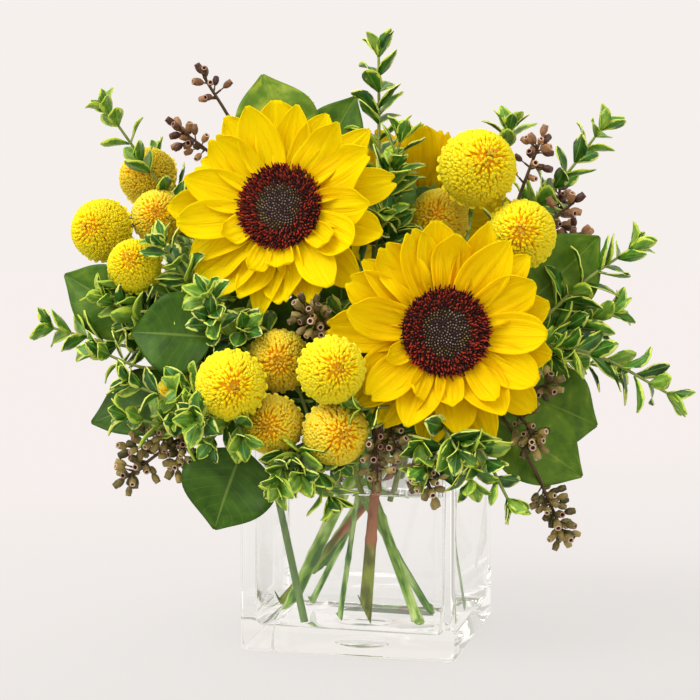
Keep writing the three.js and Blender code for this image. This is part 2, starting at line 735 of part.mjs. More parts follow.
// A broad leaf with its stalk, in the first way of bending that keeps it clear
function growLeaf(piece, root, base, ahead, up, blade) {
  const skin = (way, sized, extra) => {
    const middle = root.clone().lerp(base, 0.5);
    middle.z += 4;
    const stalkPoints = [root.toArray(), middle.toArray(), base.toArray()];
    const stalk = stemRings(stalkPoints, STALK_RADII, 4, TWIG_STEPS, extra);
    return loft([...stalk, ...bladeRings(base, way.ahead, way.up, sized, extra)]);
  };
  for (const bend of BENDS) {
    const way = bent(ahead, up, bend);
    const sized = { ...blade, length: blade.length * bend[2], width: blade.width * bend[2] };
    if (isClear(piece, toSolid(skin(way, sized, CLEARANCE)))) {
      addSolid(piece, skin(way, sized, 0));
      return;
    }
  }
}

SALAL.forEach(growSalal);

// Seeded eucalyptus: a woody stem, twigs off it, and a cluster of capsules at each twig's end
const EUCALYPTUS = [
  {
    name: 'eucalyptus_front', radius: 4.1, topRadius: 2, fixed: 4,
    stem: [[-3, -40, 15.5], [3, -44, 97], [4, -50, 128], [2, -60, 142]],
    twigs: [
      { way: [[-6, -64, 166], [-20, -72, 188]], tip: [-38, -90, 200], count: 6 },
      { way: [[8, -74, 142]], tip: [12, -90, 124], count: 3 },
      { way: [[14, -72, 138], [26, -88, 116]], tip: [32, -93, 100], count: 3 },
      { way: [[0, -74, 138]], tip: [2, -90, 108], count: 3 },
    ],
  },
  {
    name: 'eucalyptus_top_right', radius: 2.6, topRadius: 1.6, fixed: 3,
    stem: [[-52, 7, 17], [14, -1, 97], [27, -6, 128], [62, 2, 180], [76, -6, 228]],
    twigs: [
      { way: [[86, -18, 262]], tip: [99, -20, 298], count: 6 },
      { way: [[98, -14, 244]], tip: [118, -16, 260], count: 3 },
    ],
  },
  {
    name: 'eucalyptus_top_left', radius: 2, topRadius: 1.4, fixed: 1,
    stem: [[-8, 24, 86], [-12, 26, 128], [-48, 26, 205], [-76, 14, 262]],
    twigs: [
      { way: [[-92, 6, 286]], tip: [-116, -2, 306], count: 6 },
      { way: [[-80, 4, 300]], tip: [-100, -5, 336], count: 3 },
    ],
  },
  {
    name: 'eucalyptus_left', radius: 2, topRadius: 1.4, fixed: 1,
    stem: [[-18, -4, 88], [-26, -8, 130], [-62, -38, 148], [-88, -56, 140]],
    twigs: [
      { way: [[-104, -64, 132]], tip: [-112, -66, 112], count: 6 },
      { way: [[-112, -60, 134]], tip: [-136, -62, 120], count: 4 },
      { way: [[-110, -58, 126]], tip: [-140, -60, 104], count: 3 },
    ],
  },
  {
    name: 'eucalyptus_right', radius: 2, topRadius: 1.4, fixed: 1,
    stem: [[22, -26, 88], [30, -30, 128], [58, -44, 146], [74, -54, 146]],
    twigs: [
      { way: [[86, -60, 152]], tip: [100, -64, 158], count: 3 },
      { way: [[86, -64, 136]], tip: [90, -70, 124], count: 4 },
      { way: [[84, -52, 124], [98, -50, 96]], tip: [110, -52, 70], count: 6 },
    ],
  },
  {
    name: 'eucalyptus_back_left', radius: 2, topRadius: 1.4, fixed: 1,
    stem: [[-6, 46, 86], [-10, 52, 128], [-34, 92, 146], [-44, 110, 146]],
    twigs: [
      { way: [[-52, 122, 138]], tip: [-58, 128, 118], count: 4 },
      { way: [[-34, 122, 154]], tip: [-24, 128, 166], count: 3 },
    ],
  },
  {
    name: 'eucalyptus_back_right', radius: 2, topRadius: 1.4, fixed: 1,
    stem: [[14, 26, 86], [22, 28, 128], [72, 40, 176], [104, 34, 226]],
    twigs: [
      { way: [[114, 34, 250]], tip: [118, 36, 272], count: 6 },
      { way: [[120, 46, 236]], tip: [134, 54, 242], count: 3 },
    ],
  },
];

// A capsule: it widens from its stalk to near its mouth, and is drawn in at the rim
function capsuleRings(root, ahead, extra) {
  const { side, up } = frameAlong(ahead, crosswise(ahead));
  const ring = (along, radius) => {
    const centre = root.clone().addScaledVector(ahead, along + extra);
    return [0, 1, 2, 3].map((k) => centre.clone()
      .addScaledVector(side, (radius + extra) * Math.cos((Math.PI * k) / 2))
      .addScaledVector(up, (radius + extra) * Math.sin((Math.PI * k) / 2)));
  };
  const widest = CAPSULE_STALK + 0.62 * CAPSULE_LENGTH;
  return [
    [root.clone()],
    ring(widest, CAPSULE_RADIUS),
    ring(CAPSULE_STALK + CAPSULE_LENGTH, 0.6 * CAPSULE_RADIUS),
  ];
}

// The way each capsule of a cluster points: the first straight on, and the rest round the twig
function clusterWay(index, forward) {
  const golden = Math.PI * (3 - Math.sqrt(5));
  const { side, up, ahead } = frameAlong(forward, crosswise(forward));
  const open = index === 0 ? 0 : 0.75 + 0.1 * Math.min(index, 6);
  return ahead.clone().multiplyScalar(Math.cos(open))
    .addScaledVector(side, Math.sin(open) * Math.cos(index * golden))
    .addScaledVector(up, Math.sin(open) * Math.sin(index * golden));
}

function growEucalyptus(spec) {
  const piece = newPiece(spec.name, TWIG_BROWN, 0.55);
  const used = growStem(piece, spec.stem, [spec.radius, spec.topRadius], 5, STEM_STEPS, spec.fixed);
  spec.twigs.forEach((twig, index) => {
    const start = onStem(used, STEM_STEPS, 0.98 - 0.08 * index).place.toArray();
    const points = growStem(piece, [start, ...twig.way, twig.tip], TWIG_RADII, 3, TWIG_STEPS, 1);
    const reach = lineThrough(points).getLength();
    for (let k = 0; k < twig.count; k += 1) {
      const share = 1 - (CAPSULE_SPACING * k + 0.5) / reach;
      const { place: root, way } = onStem(points, TWIG_STEPS, share);
      const ahead = clusterWay(k, way);
      if (isClear(piece, toSolid(loft(capsuleRings(root, ahead, CLEARANCE))))) {
        addSolid(piece, loft(capsuleRings(root, ahead, 0)));
      }
    }
  });
}

EUCALYPTUS.forEach(growEucalyptus);

// Variegated boxwood: woody stems with sprigs, each sprig with pairs of leaves set crosswise
const BOXWOOD = [
  {
    name: 'boxwood_upper_left', seed: 401,
    stem: [[-15, 10, 88], [-24, 8, 130], [-74, -8, 182], [-98, -28, 202]],
    sprigs: [
      { way: [[-118, -6, 240]], tip: [-158, -12, 318], bare: 0.5, pairs: 3 },
      { way: [[-104, -52, 214]], tip: [-118, -62, 236], bare: 0.5, pairs: 2 },
      { way: [[-84, -62, 196]], tip: [-92, -78, 208], bare: 0.5, pairs: 1 },
    ],
  },
  {
    name: 'boxwood_left', seed: 402,
    stem: [[-17, 3, 88], [-28, 0, 131], [-78, -22, 160], [-112, -32, 174]],
    sprigs: [
      { way: [[-150, -32, 178]], tip: [-188, -32, 188], bare: 0.3, pairs: 2 },
      { way: [[-132, -42, 192]], tip: [-154, -46, 206], bare: 0.5, pairs: 2 },
      { way: [[-128, -56, 166]], tip: [-154, -66, 176], bare: 0.5, pairs: 1 },
    ],
  },
  {
    name: 'boxwood_front_left', seed: 403,
    stem: [[-16, -42, 88], [-22, -50, 131], [-60, -66, 152], [-84, -72, 146]],
    sprigs: [
      { way: [[-106, -80, 148]], tip: [-134, -88, 160], bare: 0.3, pairs: 2 },
      { way: [[-92, -88, 140]], tip: [-96, -102, 142], bare: 0.5, pairs: 1 },
      { way: [[-104, -72, 134]], tip: [-138, -74, 140], bare: 0.5, pairs: 2 },
    ],
  },
  {
    name: 'boxwood_front', seed: 404,
    stem: [[-4, -44, 88], [-14, -52, 130], [-30, -66, 138], [-38, -76, 122]],
    sprigs: [
      { way: [[-42, -88, 118]], tip: [-50, -96, 106], bare: 0.5, pairs: 2 },
      { way: [[-32, -84, 112]], tip: [-24, -88, 97], bare: 0.5, pairs: 1 },
    ],
  },
  {
    name: 'boxwood_top', seed: 405,
    stem: [[2, -4, 88], [2, -6, 130], [0, -12, 200], [2, -24, 244]],
    sprigs: [
      { way: [[4, -14, 296]], tip: [4, -8, 350], bare: 0.3, pairs: 3 },
      { way: [[8, -38, 268]], tip: [16, -42, 296], bare: 0.5, pairs: 2 },
    ],
  },
  {
    name: 'boxwood_top_right', seed: 406,
    stem: [[18, 4, 88], [28, 6, 130], [66, 18, 200], [84, 12, 246]],
    sprigs: [
      { way: [[112, 4, 272]], tip: [138, 0, 306], bare: 0.3, pairs: 2 },
      { way: [[80, 4, 284]], tip: [82, 0, 304], bare: 0.5, pairs: 1 },
    ],
  },
  {
    name: 'boxwood_right', seed: 407,
    stem: [[28, -16, 88], [40, -18, 130], [74, -24, 170], [94, -26, 186]],
    sprigs: [
      { way: [[124, -22, 214]], tip: [153, -20, 234], bare: 0.3, pairs: 3 },
      { way: [[118, -26, 188]], tip: [140, -22, 196], bare: 0.5, pairs: 2 },
      { way: [[130, -46, 172]], tip: [171, -52, 150], bare: 0.3, pairs: 3 },
    ],
  },
  {
    name: 'boxwood_front_right', seed: 408,
    stem: [[12, -38, 88], [22, -46, 131], [34, -70, 142], [46, -84, 136]],
    sprigs: [
      { way: [[60, -92, 122]], tip: [74, -94, 96], bare: 0.3, pairs: 2 },
      { way: [[40, -92, 126]], tip: [28, -96, 114], bare: 0.5, pairs: 1 },
      { way: [[28, -74, 136]], tip: [6, -78, 146], bare: 0.5, pairs: 2 },
    ],
  },
  {
    name: 'boxwood_back_left', seed: 409,
    stem: [[-18, 30, 88], [-28, 34, 130], [-78, 60, 200], [-100, 66, 236]],
    sprigs: [
      { way: [[-118, 66, 262]], tip: [-136, 62, 292], bare: 0.3, pairs: 2 },
      { way: [[-128, 64, 232]], tip: [-158, 56, 234], bare: 0.3, pairs: 2 },
    ],
  },
  {
    name: 'boxwood_back', seed: 410,
    stem: [[-3, 18, 88], [-6, 20, 130], [-28, 34, 200], [-42, 38, 250]],
    sprigs: [
      { way: [[-44, 42, 284]], tip: [-46, 46, 318], bare: 0.3, pairs: 2 },
      { way: [[-44, 72, 240]], tip: [-48, 100, 240], bare: 0.5, pairs: 2 },
    ],
  },
  {
    name: 'boxwood_back_right', seed: 411,
    stem: [[28, 26, 88], [36, 32, 130], [80, 70, 150], [104, 84, 156]],
    sprigs: [
      { way: [[132, 84, 160]], tip: [160, 80, 154], bare: 0.3, pairs: 2 },
      { way: [[100, 106, 166]], tip: [98, 128, 160], bare: 0.3, pairs: 2 },
    ],
  },
];

function growSprig(piece, points, sprig, draw) {
  for (let pair = 0; pair < sprig.pairs; pair += 1) {
    const share = sprig.pairs === 1 ? 1 : pair / (sprig.pairs - 1);
    const t = Math.min(sprig.bare + (1 - sprig.bare) * share, 0.97);
    const last = share === 1;
    const size = 1 - 0.3 * share;
    const { place: centre, way: forward } = onStem(points, TWIG_STEPS, t);
    const { side, up, ahead } = frameAlong(forward, crosswise(forward));
    const turn = pair * (Math.PI / 2) + 0.5 + spread(draw, 0.35);
    const open = (last ? 0.5 : 0.85) + spread(draw, 0.15);
    const curl = -0.35 + spread(draw, 0.25);
    for (let half = 0; half < 2; half += 1) {
      const angle = turn + half * Math.PI;
      const out = side.clone().multiplyScalar(Math.cos(angle)).addScaledVector(up, Math.sin(angle));
      const way = ahead.clone().multiplyScalar(Math.cos(open)).addScaledVector(out, Math.sin(open));
      const face = ahead.clone().multiplyScalar(Math.sin(open)).addScaledVector(out, -Math.cos(open));
      const root = centre.clone().addScaledVector(out, 0.15);
      growBlade(piece, root, way, face, {
        length: BOX_LEAF_LENGTH * size,
        width: BOX_LEAF_WIDTH * size,
        thickness: BOX_LEAF_THICKNESS,
        curl,
        folded: false,
        stations: [[0, 0, 0], [0.42, 1, 0.12], [0.78, 0.78, 0.1], [1, 0, 0]],
      });
    }
  }
}

function growBoxwood(spec) {
  const draw = seeded(spec.seed);
  const piece = newPiece(spec.name, BOX_GREEN, 0.5);
  const used = growStem(piece, spec.stem, BOX_STEM_RADII, 4, STEM_STEPS, 1);
  spec.sprigs.forEach((sprig, index) => {
    const start = onStem(used, STEM_STEPS, 0.98 - 0.08 * index).place.toArray();
    const way = [start, ...sprig.way, sprig.tip];
    const points = growStem(piece, way, SPRIG_RADII, 3, TWIG_STEPS, 1);
    growSprig(piece, points, sprig, draw);
  });
}

BOXWOOD.forEach(growBoxwood);

// The water, with a plain hole round each stem that stands in it
function waterSolid() {
  let body = toSolid(waterGeometry().rotateZ(-FACING));
  for (const { points, radii, sides, steps } of wetStems) {
    const lower = [points[0][0], points[0][1], points[0][2] - GAP];
    const rings = stemRings([lower, ...points.slice(1)], radii, sides, steps, GAP);
    body = body.subtract(toSolid(loft(rings)));
  }
  return body;
}

const water = newPiece('water', WATER, 0.02);
water.solids.push(waterSolid());

const sceneGroup = new THREE.Group();
const bouquet = new THREE.Group();
bouquet.rotation.z = FACING;
sceneGroup.add(bouquet);

function material(piece) {
  return new THREE.MeshStandardMaterial({
    color: piece.colour,
    roughness: piece.roughness,
    metalness: 0,
  });
}

for (const piece of pieces) {
  let joined = piece.solids[0];
  for (const solid of piece.solids.slice(1)) joined = joined.add(solid);
  const mesh = new THREE.Mesh(toGeometry(joined), material(piece));
  mesh.name = piece.name;
  bouquet.add(mesh);
}

export default sceneGroup;
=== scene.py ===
# %% [markdown]
# # Sunflowers in a glass cube vase
# A florist's bouquet stands in a clear glass cube of water: sunflowers, button chrysanthemums
# ("poms"), seeded eucalyptus, variegated boxwood and broad salal leaves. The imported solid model
# gives every head, stem and leaf its place. This file gives them their real surfaces: grooved
# petals, florets, ribbed seed capsules, cream-edged leaves and thick clear glass.

import math
from functools import partial

import bmesh
import bpy
import numpy as np
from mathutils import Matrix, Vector, kdtree
from mathutils.bvhtree import BVHTree


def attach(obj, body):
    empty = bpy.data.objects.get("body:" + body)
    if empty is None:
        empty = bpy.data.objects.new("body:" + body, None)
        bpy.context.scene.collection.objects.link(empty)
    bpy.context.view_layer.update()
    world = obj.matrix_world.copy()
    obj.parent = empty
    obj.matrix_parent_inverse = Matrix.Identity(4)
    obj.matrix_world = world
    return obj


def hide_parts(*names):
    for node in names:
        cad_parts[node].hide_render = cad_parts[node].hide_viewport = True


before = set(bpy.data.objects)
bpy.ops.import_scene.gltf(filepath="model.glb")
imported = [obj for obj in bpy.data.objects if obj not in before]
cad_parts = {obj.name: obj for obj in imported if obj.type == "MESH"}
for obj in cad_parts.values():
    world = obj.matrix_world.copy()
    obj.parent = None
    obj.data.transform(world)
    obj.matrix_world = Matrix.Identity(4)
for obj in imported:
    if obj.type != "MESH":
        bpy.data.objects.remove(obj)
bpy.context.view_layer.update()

# %% [markdown]
# ## Two frames
# The vase's faces look along X and Y, but the bouquet has a front of its own, 14.5 degrees round
# from the vase's front. Lengths below are millimetres in the bouquet's frame, because that is how
# a stem or a petal is measured. One function turns a list of points into metres in the model's
# frame, and one brings the solid model's corners back.

# %% Sizes and frames
FACING = math.radians(14.5)
VASE_SIDE, VASE_HEIGHT, WALL, FLOOR, WATER_LEVEL = 127, 127, 7.5, 14, 94
TURN = np.array([[math.cos(FACING), -math.sin(FACING), 0],
                 [math.sin(FACING), math.cos(FACING), 0],
                 [0, 0, 1]])


def to_model(points):
    """Millimetres in the bouquet's frame to metres in the model's frame."""
    return np.asarray(points, float) @ TURN.T / 1000


def read(parts, field, kind=float, width=1):
    """One field of all the points, corners or faces of a mesh, as an array."""
    values = np.empty(len(parts) * width, kind)
    parts.foreach_get(field, values)
    return values.reshape(-1, width) if width > 1 else values


def corners_of(node_name):
    """The corners of a solid node, in millimetres in the bouquet's frame."""
    return read(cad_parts[node_name].data.vertices, "co", width=3) @ TURN * 1000


def search_tree(points):
    """A tree that finds the corner nearest to a place."""
    tree = kdtree.KDTree(len(points))
    for index, point in enumerate(points):
        tree.insert(point, index)
    tree.balance()
    return tree


TREES = {name: search_tree(corners_of(name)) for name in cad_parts}
print("search trees", len(TREES))

# %% [markdown]
# ## Lines that grow
# A stem is a smooth line through a few points, and a blade, such as a petal or a leaf, starts at
# a root, runs ahead and curls towards its upper face. These few functions give those lines. The
# seeded draw makes the small differences between petals the same on every run.

# %% The seeded draw
WORD = 0xFFFFFFFF
GOLDEN_ANGLE = math.pi * (3 - math.sqrt(5))


def seeded(seed):
    """A seeded draw of numbers between 0 and 1."""
    state = [seed & WORD]

    def draw():
        state[0] = (state[0] + 0x6D2B79F5) & WORD
        stirred = state[0]
        stirred = ((stirred ^ (stirred >> 15)) * (stirred | 1)) & WORD
        stirred ^= (stirred + (((stirred ^ (stirred >> 7)) * (stirred | 61)) & WORD)) & WORD
        return ((stirred ^ (stirred >> 14)) & WORD) / (WORD + 1)

    return draw


def spread(draw, amount):
    return (draw() * 2 - 1) * amount


first = seeded(11)
print("the first draws of seed 11:", [round(first(), 3) for _ in range(3)])

# %% Frames and lines
def unit(way):
    way = np.asarray(way, float)
    return way / np.linalg.norm(way)


def frame_along(forward, wanted):
    """Side, up and ahead, at right angles, for a thing that runs forward."""
    ahead = unit(forward)
    side = unit(np.cross(wanted, ahead))
    return side, np.cross(ahead, side), ahead


def frame_of(forward):
    """The same for a thing that looks alike all round."""
    return frame_along(forward, (1, 0, 0) if abs(forward[2]) > 0.9 else (0, 0, 1))


def outward(side, up, angle):
    """The way that lies angle round from side towards up."""
    return side * math.cos(angle) + up * math.sin(angle)


def opened_from(ahead, out, opened):
    """The way that leans from ahead towards out by opened, and the way its face then looks."""
    return outward(ahead, out, opened), outward(-out, ahead, opened)


def smooth_line(points, shares):
    """Places on the smooth line through points, at shares of its way from 0 to 1."""
    line = np.asarray(points, float)
    line = np.vstack([2 * line[0] - line[1], line, 2 * line[-1] - line[-2]])
    spans = len(line) - 3
    along = np.clip(np.asarray(shares, float), 0, 1) * spans
    span = np.minimum(along.astype(int), spans - 1)
    w = (along - span)[:, None]
    a, b, c, d = line[span], line[span + 1], line[span + 2], line[span + 3]
    out, back = (c - a) / 2, (d - b) / 2
    return b + out * w + (3 * (c - b) - 2 * out - back) * w**2 + (2 * (b - c) + out + back) * w**3


def length_of(points):
    line = smooth_line(points, np.linspace(0, 1, 201))
    return float(np.linalg.norm(np.diff(line, axis=0), axis=1).sum())


def turned(way, axis, angle):
    """way turned about axis, both as arrays."""
    axis = unit(axis)
    return (way * math.cos(angle) + np.cross(axis, way) * math.sin(angle)
            + axis * np.dot(axis, way) * (1 - math.cos(angle)))


print("a smooth line of", round(length_of([(0, 0, 0), (10, 0, 10), (20, 0, 0)]), 1), "mm")

# %% [markdown]
# ## Following the solid model
# In the solid model a stem is pushed aside, or a leaf bent, where it would cross a neighbour. The
# finer pieces have to lie where those solids lie. Each possible push or bend is tried in the same
# order, and the right one is known by the solid's own corners: a ring of a stem, or a blade's tip.

# %% Every push and bend that the solid model may have
# Each bend is a lift and a swing in degrees, and a size. Each shift is millimetres across and
# back.
BENDS = ((0, 0, 1), (12, 0, 1), (-12, 0, 1), (0, 16, 1), (0, -16, 1), (24, 0, 1), (-24, 0, 1),
         (12, 24, 1), (12, -24, 1), (-12, 24, 1), (-12, -24, 1), (38, 0, 1), (-38, 0, 1),
         (0, 36, 0.9), (0, -36, 0.9), (0, 0, 0.75), (20, 0, 0.75), (-20, 0, 0.75),
         (30, 30, 0.75), (30, -30, 0.75), (-30, 30, 0.75), (-30, -30, 0.75),
         (55, 0, 0.75), (-55, 0, 0.75))
SHIFTS = ((0, 0), (3, 0), (-3, 0), (0, 3), (0, -3), (4, 4), (-4, 4), (4, -4), (-4, -4),
          (7, 0), (-7, 0), (0, 7), (0, -7), (7, 7), (-7, 7), (7, -7), (-7, -7),
          (11, 0), (-11, 0), (0, 11), (0, -11), (11, 8), (-11, 8), (11, -8), (-11, -8))
STEM_STEPS, SPRAY_STEPS, TWIG_STEPS, FOOT_STEPS = 4, 5, 2, 24
SAME_PLACE = 0.12
lost = []
print(len(BENDS), "bends and", len(SHIFTS), "shifts to try")

# %% Find a stem's push
def above_water(points):
    """A standing stem is straight up to its second point, and curves from there."""
    return points[1:] if points[0][2] < WATER_LEVEL else points


def solid_ring(points, radii, sides, steps):
    """The corners of the solid model's stem at its first step."""
    chord = np.abs(np.subtract(points[-1], points[0]))
    wanted = (1, 0, 0) if chord[1] > max(chord[0], chord[2]) else (0, 1, 0)
    share = 1 / steps
    low, middle, high = smooth_line(above_water(points), (share - 1e-4, share, share + 1e-4))
    side, up, _ = frame_along(high - low, wanted)
    radius = radii[0] + (radii[1] - radii[0]) * share
    return [middle + radius * outward(side, up, 2 * math.pi * k / sides) for k in range(sides)]


def pushed(node_name, points, radii, sides, steps, first_free=1):
    """The points of a stem as they lie in the solid model, which moves the free ones."""
    if first_free >= len(points) - 1:
        return points
    best, found = points, 0
    for across, back in SHIFTS:
        used = [p if i < first_free or i == len(points) - 1 else (p[0] + across, p[1] + back, p[2])
                for i, p in enumerate(points)]
        ring = solid_ring(used, radii, sides, steps)
        hits = sum(TREES[node_name].find(corner)[2] < SAME_PLACE for corner in ring)
        if hits > found:
            best, found = used, hits
    if found == 0:
        lost.append(node_name)
    return best


print("the furthest push is", max(max(shift) for shift in SHIFTS), "mm")

# %% Find a blade's bend, and places on a stem
def found_bend(node_name, part, root, ahead, up, length, curl):
    """Ahead, up and size of a blade as it lies in the solid model, or None if it isn't there."""
    side = frame_along(ahead, up)[0]
    for lift, swing, size in BENDS:
        lift, swing = math.radians(lift), math.radians(swing)
        way = unit(turned(turned(ahead, side, -lift), up, swing))
        face = unit(turned(up, side, -lift))
        tip = root + length * size * (math.sin(curl) * way + (1 - math.cos(curl)) * face) / curl
        if TREES[node_name].find(tip)[2] < SAME_PLACE:
            return way, face, size
    lost.append(f"{node_name} {part}")
    return None


def on_stem(points, steps, share):
    """Where the solid stem's straight segments are at a share of its way, and their direction."""
    segment = min(int(share * steps), steps - 1)
    low, high = smooth_line(above_water(points), (segment / steps, (segment + 1) / steps))
    return low + (high - low) * (share * steps - segment), unit(high - low)


def centre_line(points, steps, per_step):
    """The finer stem's middle line, through the middles of the solid stem's rings."""
    knots = smooth_line(above_water(points), np.linspace(0, 1, steps + 1))
    line = smooth_line(knots, np.linspace(0, 1, steps * per_step + 1))
    if points[0][2] > WATER_LEVEL:
        return line
    return np.vstack([np.linspace(points[0], line[0], FOOT_STEPS, endpoint=False), line])


print("the furthest bend is", max(max(bend) for bend in BENDS), "degrees")

# %% [markdown]
# ## Modelling one, copying many
# A petal, a leaf, a floret and a capsule are each modelled once, as by hand, and then copied. A
# `Shape` holds what was modelled: its points in shares of its own width and length, its faces and
# its UV map. A `Bunch` gathers copies into one mesh. Each copy keeps a number of its own, `tint`,
# which its material reads, so that no two petals have quite the same colour.

# %% Shapes and bunches
class Shape:
    """A modelled piece, read into arrays, and then taken out of the scene."""

    def __init__(self, piece, width=1, length=1, upright=False):
        alone(piece)
        mesh = piece.data
        self.points = read(mesh.vertices, "co", width=3) / (width, length, width)
        self.corners = read(mesh.loops, "vertex_index", int)
        self.starts = read(mesh.polygons, "loop_start", int)
        self.marks = read(mesh.polygons, "material_index", int)
        self.uv = np.full((len(mesh.loops), 2), 0.5)
        if upright:
            self.uv[:, 1] = self.points[self.corners, 2] / self.points[:, 2].max()
        elif mesh.uv_layers:
            self.uv = read(mesh.uv_layers.active.data, "uv", width=2)
        print(piece.name, "modelled once with", len(self.starts), "faces")
        bpy.data.objects.remove(piece)


class Bunch:
    """Copies of shapes, gathered into one piece. leaf_size is its leaves' (length, width)."""

    def __init__(self, leaf_size=(1, 1)):
        self.copies, self.leaf_size = [], leaf_size

    def add(self, shape, points, tint=0.5, kind=0):
        self.copies.append((shape, points, tint, kind))

    def add_stems(self, name, lines, tint=0.5, kind=0, roundness=2):
        stems = drawn_stems(name, lines, roundness)
        self.add(stems, stems.points, tint, kind)
        return stems.points

    def piece(self, name, materials, slot, *nodes):
        shapes, points, tints, kinds = zip(*self.copies)
        sizes = np.array([(len(shape.points), len(shape.corners)) for shape in shapes])
        befores = np.cumsum(sizes, axis=0) - sizes
        mesh = bpy.data.meshes.new(name)
        clothe(mesh, materials)
        mesh.vertices.add(sizes[:, 0].sum())
        mesh.vertices.foreach_set("co", to_model(np.vstack(points)).ravel())
        mesh.loops.add(sizes[:, 1].sum())
        mesh.polygons.add(sum(len(shape.starts) for shape in shapes))
        points_before, corners_before = befores.T
        for parts, field, own, added in (
                (mesh.loops, "vertex_index", "corners", points_before),
                (mesh.polygons, "loop_start", "starts", corners_before),
                (mesh.polygons, "material_index", "marks", kinds)):
            parts.foreach_set(field, np.concatenate(
                [getattr(shape, own) + more for shape, more in zip(shapes, added)]))
        uv = np.vstack([shape.uv for shape in shapes])
        mesh.uv_layers.new(name="UVMap").data.foreach_set("uv", uv.ravel())
        own_number = mesh.attributes.new("tint", "FLOAT", "POINT")
        own_number.data.foreach_set("value", np.repeat(tints, sizes[:, 0]))
        mesh.update(calc_edges=True)
        mesh.shade_smooth()
        made = bpy.data.objects.new(name, mesh)
        bpy.context.scene.collection.objects.link(made)
        settle(made, slot, *nodes)


def clothe(mesh, materials):
    """Gives a mesh its materials. Clearing them unmarks its faces, so this comes before marking."""
    mesh.materials.clear()
    for material in materials:
        mesh.materials.append(material)


def settle(piece, slot, *nodes):
    """The piece rides on the one body and stands for its solid nodes. slot is not used."""
    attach(piece, "root")
    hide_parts(*nodes)
    print(piece.name, len(piece.data.polygons), "faces")


# %% Start, select and finish a piece
def leave_all():
    """Back to object mode, with nothing selected."""
    if bpy.context.mode != "OBJECT":
        bpy.ops.object.mode_set(mode="OBJECT")
    bpy.ops.object.select_all(action="DESELECT")


def alone(piece):
    """Only this piece is selected and active, in object mode."""
    leave_all()
    piece.select_set(True)
    bpy.context.view_layer.objects.active = piece


def begin(name, add_primitive, **settings):
    """Adds a primitive by its operator, and opens it in edit mode with all of it selected."""
    leave_all()
    add_primitive(**settings)
    piece = bpy.context.object
    piece.name = name
    bpy.ops.object.mode_set(mode="EDIT")
    bpy.ops.mesh.select_all(action="SELECT")
    return piece


def pick(piece, kind, test):
    """In edit mode, selects the points, edges or faces that pass the test, and nothing else."""
    bpy.ops.mesh.select_mode(type=kind)
    bpy.ops.mesh.select_all(action="DESELECT")
    shape = bmesh.from_edit_mesh(piece.data)
    for part in {"VERT": shape.verts, "EDGE": shape.edges, "FACE": shape.faces}[kind]:
        part.select = test(part)
    shape.select_flush_mode()
    bmesh.update_edit_mesh(piece.data)


def looks_up(face):
    return face.normal.z > 0.9


def finish_with(piece, kind, **settings):
    """Adds a modifier with its settings and applies it."""
    alone(piece)
    modifier = piece.modifiers.new(kind.title(), kind)
    for name, value in settings.items():
        setattr(modifier, name, value)
    bpy.ops.object.modifier_apply(modifier=modifier.name)


print("ready to model, in mode", bpy.context.mode)

# %% [markdown]
# ## One blade tool for petals and leaves
# A petal and a leaf both start as a flat grid. Columns are pulled up or down for grooves and the
# midrib, and then each row is drawn in or out to the outline. The grid brings its own UV map,
# across and along the blade, and the materials use it for veins, margins and the fade from root
# to tip. A Subdivision modifier rounds the outline and Solidify gives the thickness.

# %% The blade tool
def blade_shape(name, width, length, column_lifts, row_widths, thickness, ends=(), levels=1):
    """A blade whose columns are lifted and whose rows are drawn in, one number for each.

    ends is how much longer each column is at the tip."""
    columns, rows = len(column_lifts) - 1, len(row_widths) - 1
    blade = begin(name, bpy.ops.mesh.primitive_grid_add, x_subdivisions=columns,
                  y_subdivisions=rows, size=1)
    bpy.ops.transform.resize(value=(width, length, 1))
    bpy.ops.transform.translate(value=(0, length / 2, 0))
    near = width / columns / 4
    for column, lift in enumerate(column_lifts):
        x = width * (column / columns - 0.5)
        if lift:
            pick(blade, "VERT", lambda point: abs(point.co.x - x) < near)
            bpy.ops.transform.translate(value=(0, 0, lift))
    near = length / rows / 4
    for row, share in enumerate(row_widths):
        y = length * row / rows
        pick(blade, "VERT", lambda point: abs(point.co.y - y) < near)
        bpy.ops.transform.resize(value=(share, 1, max(share, 0.3)), center_override=(0, y, 0))
    tip = width * row_widths[-1]
    for column, longer in enumerate(ends):
        x = tip * (column / columns - 0.5)
        pick(blade, "VERT", lambda point: point.co.y > length - near
             and abs(point.co.x - x) < tip / columns / 4)
        bpy.ops.transform.translate(value=(0, longer, 0))
    if levels:
        finish_with(blade, "SUBSURF", levels=levels, render_levels=levels)
    finish_with(blade, "SOLIDIFY", thickness=thickness, offset=-1)
    return Shape(blade, width, length)


# %% Lay a blade or an upright shape
def laid(shape, root, ahead, up, length, width, curl, twist=0.0, wave=0.0, tip=0.0):
    """The points of a blade that starts at root, runs ahead and curls towards its upper face.

    tip is how much further it curls at its end, twist turns it about its own line and wave
    ruffles its edges."""
    side = frame_along(ahead, up)[0]
    x, y, z = shape.points.T
    steps = np.linspace(0, 1, 33)
    angles = curl * steps + tip * steps**4
    along = np.r_[0, np.cumsum(np.cos(angles[1:]) + np.cos(angles[:-1]))] / 64
    rise = np.r_[0, np.cumsum(np.sin(angles[1:]) + np.sin(angles[:-1]))] / 64
    angle = np.interp(y, steps, angles)
    lean = twist * y
    across = x * np.cos(lean) - z * np.sin(lean)
    lift = x * np.sin(lean) + z * np.cos(lean) + wave * np.sin(y * 9 + 20 * wave) * np.abs(x)
    raised = np.outer(np.cos(angle), up) - np.outer(np.sin(angle), ahead)
    return (root + length * (np.outer(np.interp(y, steps, along), ahead)
                             + np.outer(np.interp(y, steps, rise), up))
            + width * (np.outer(across, side) + lift[:, None] * raised))


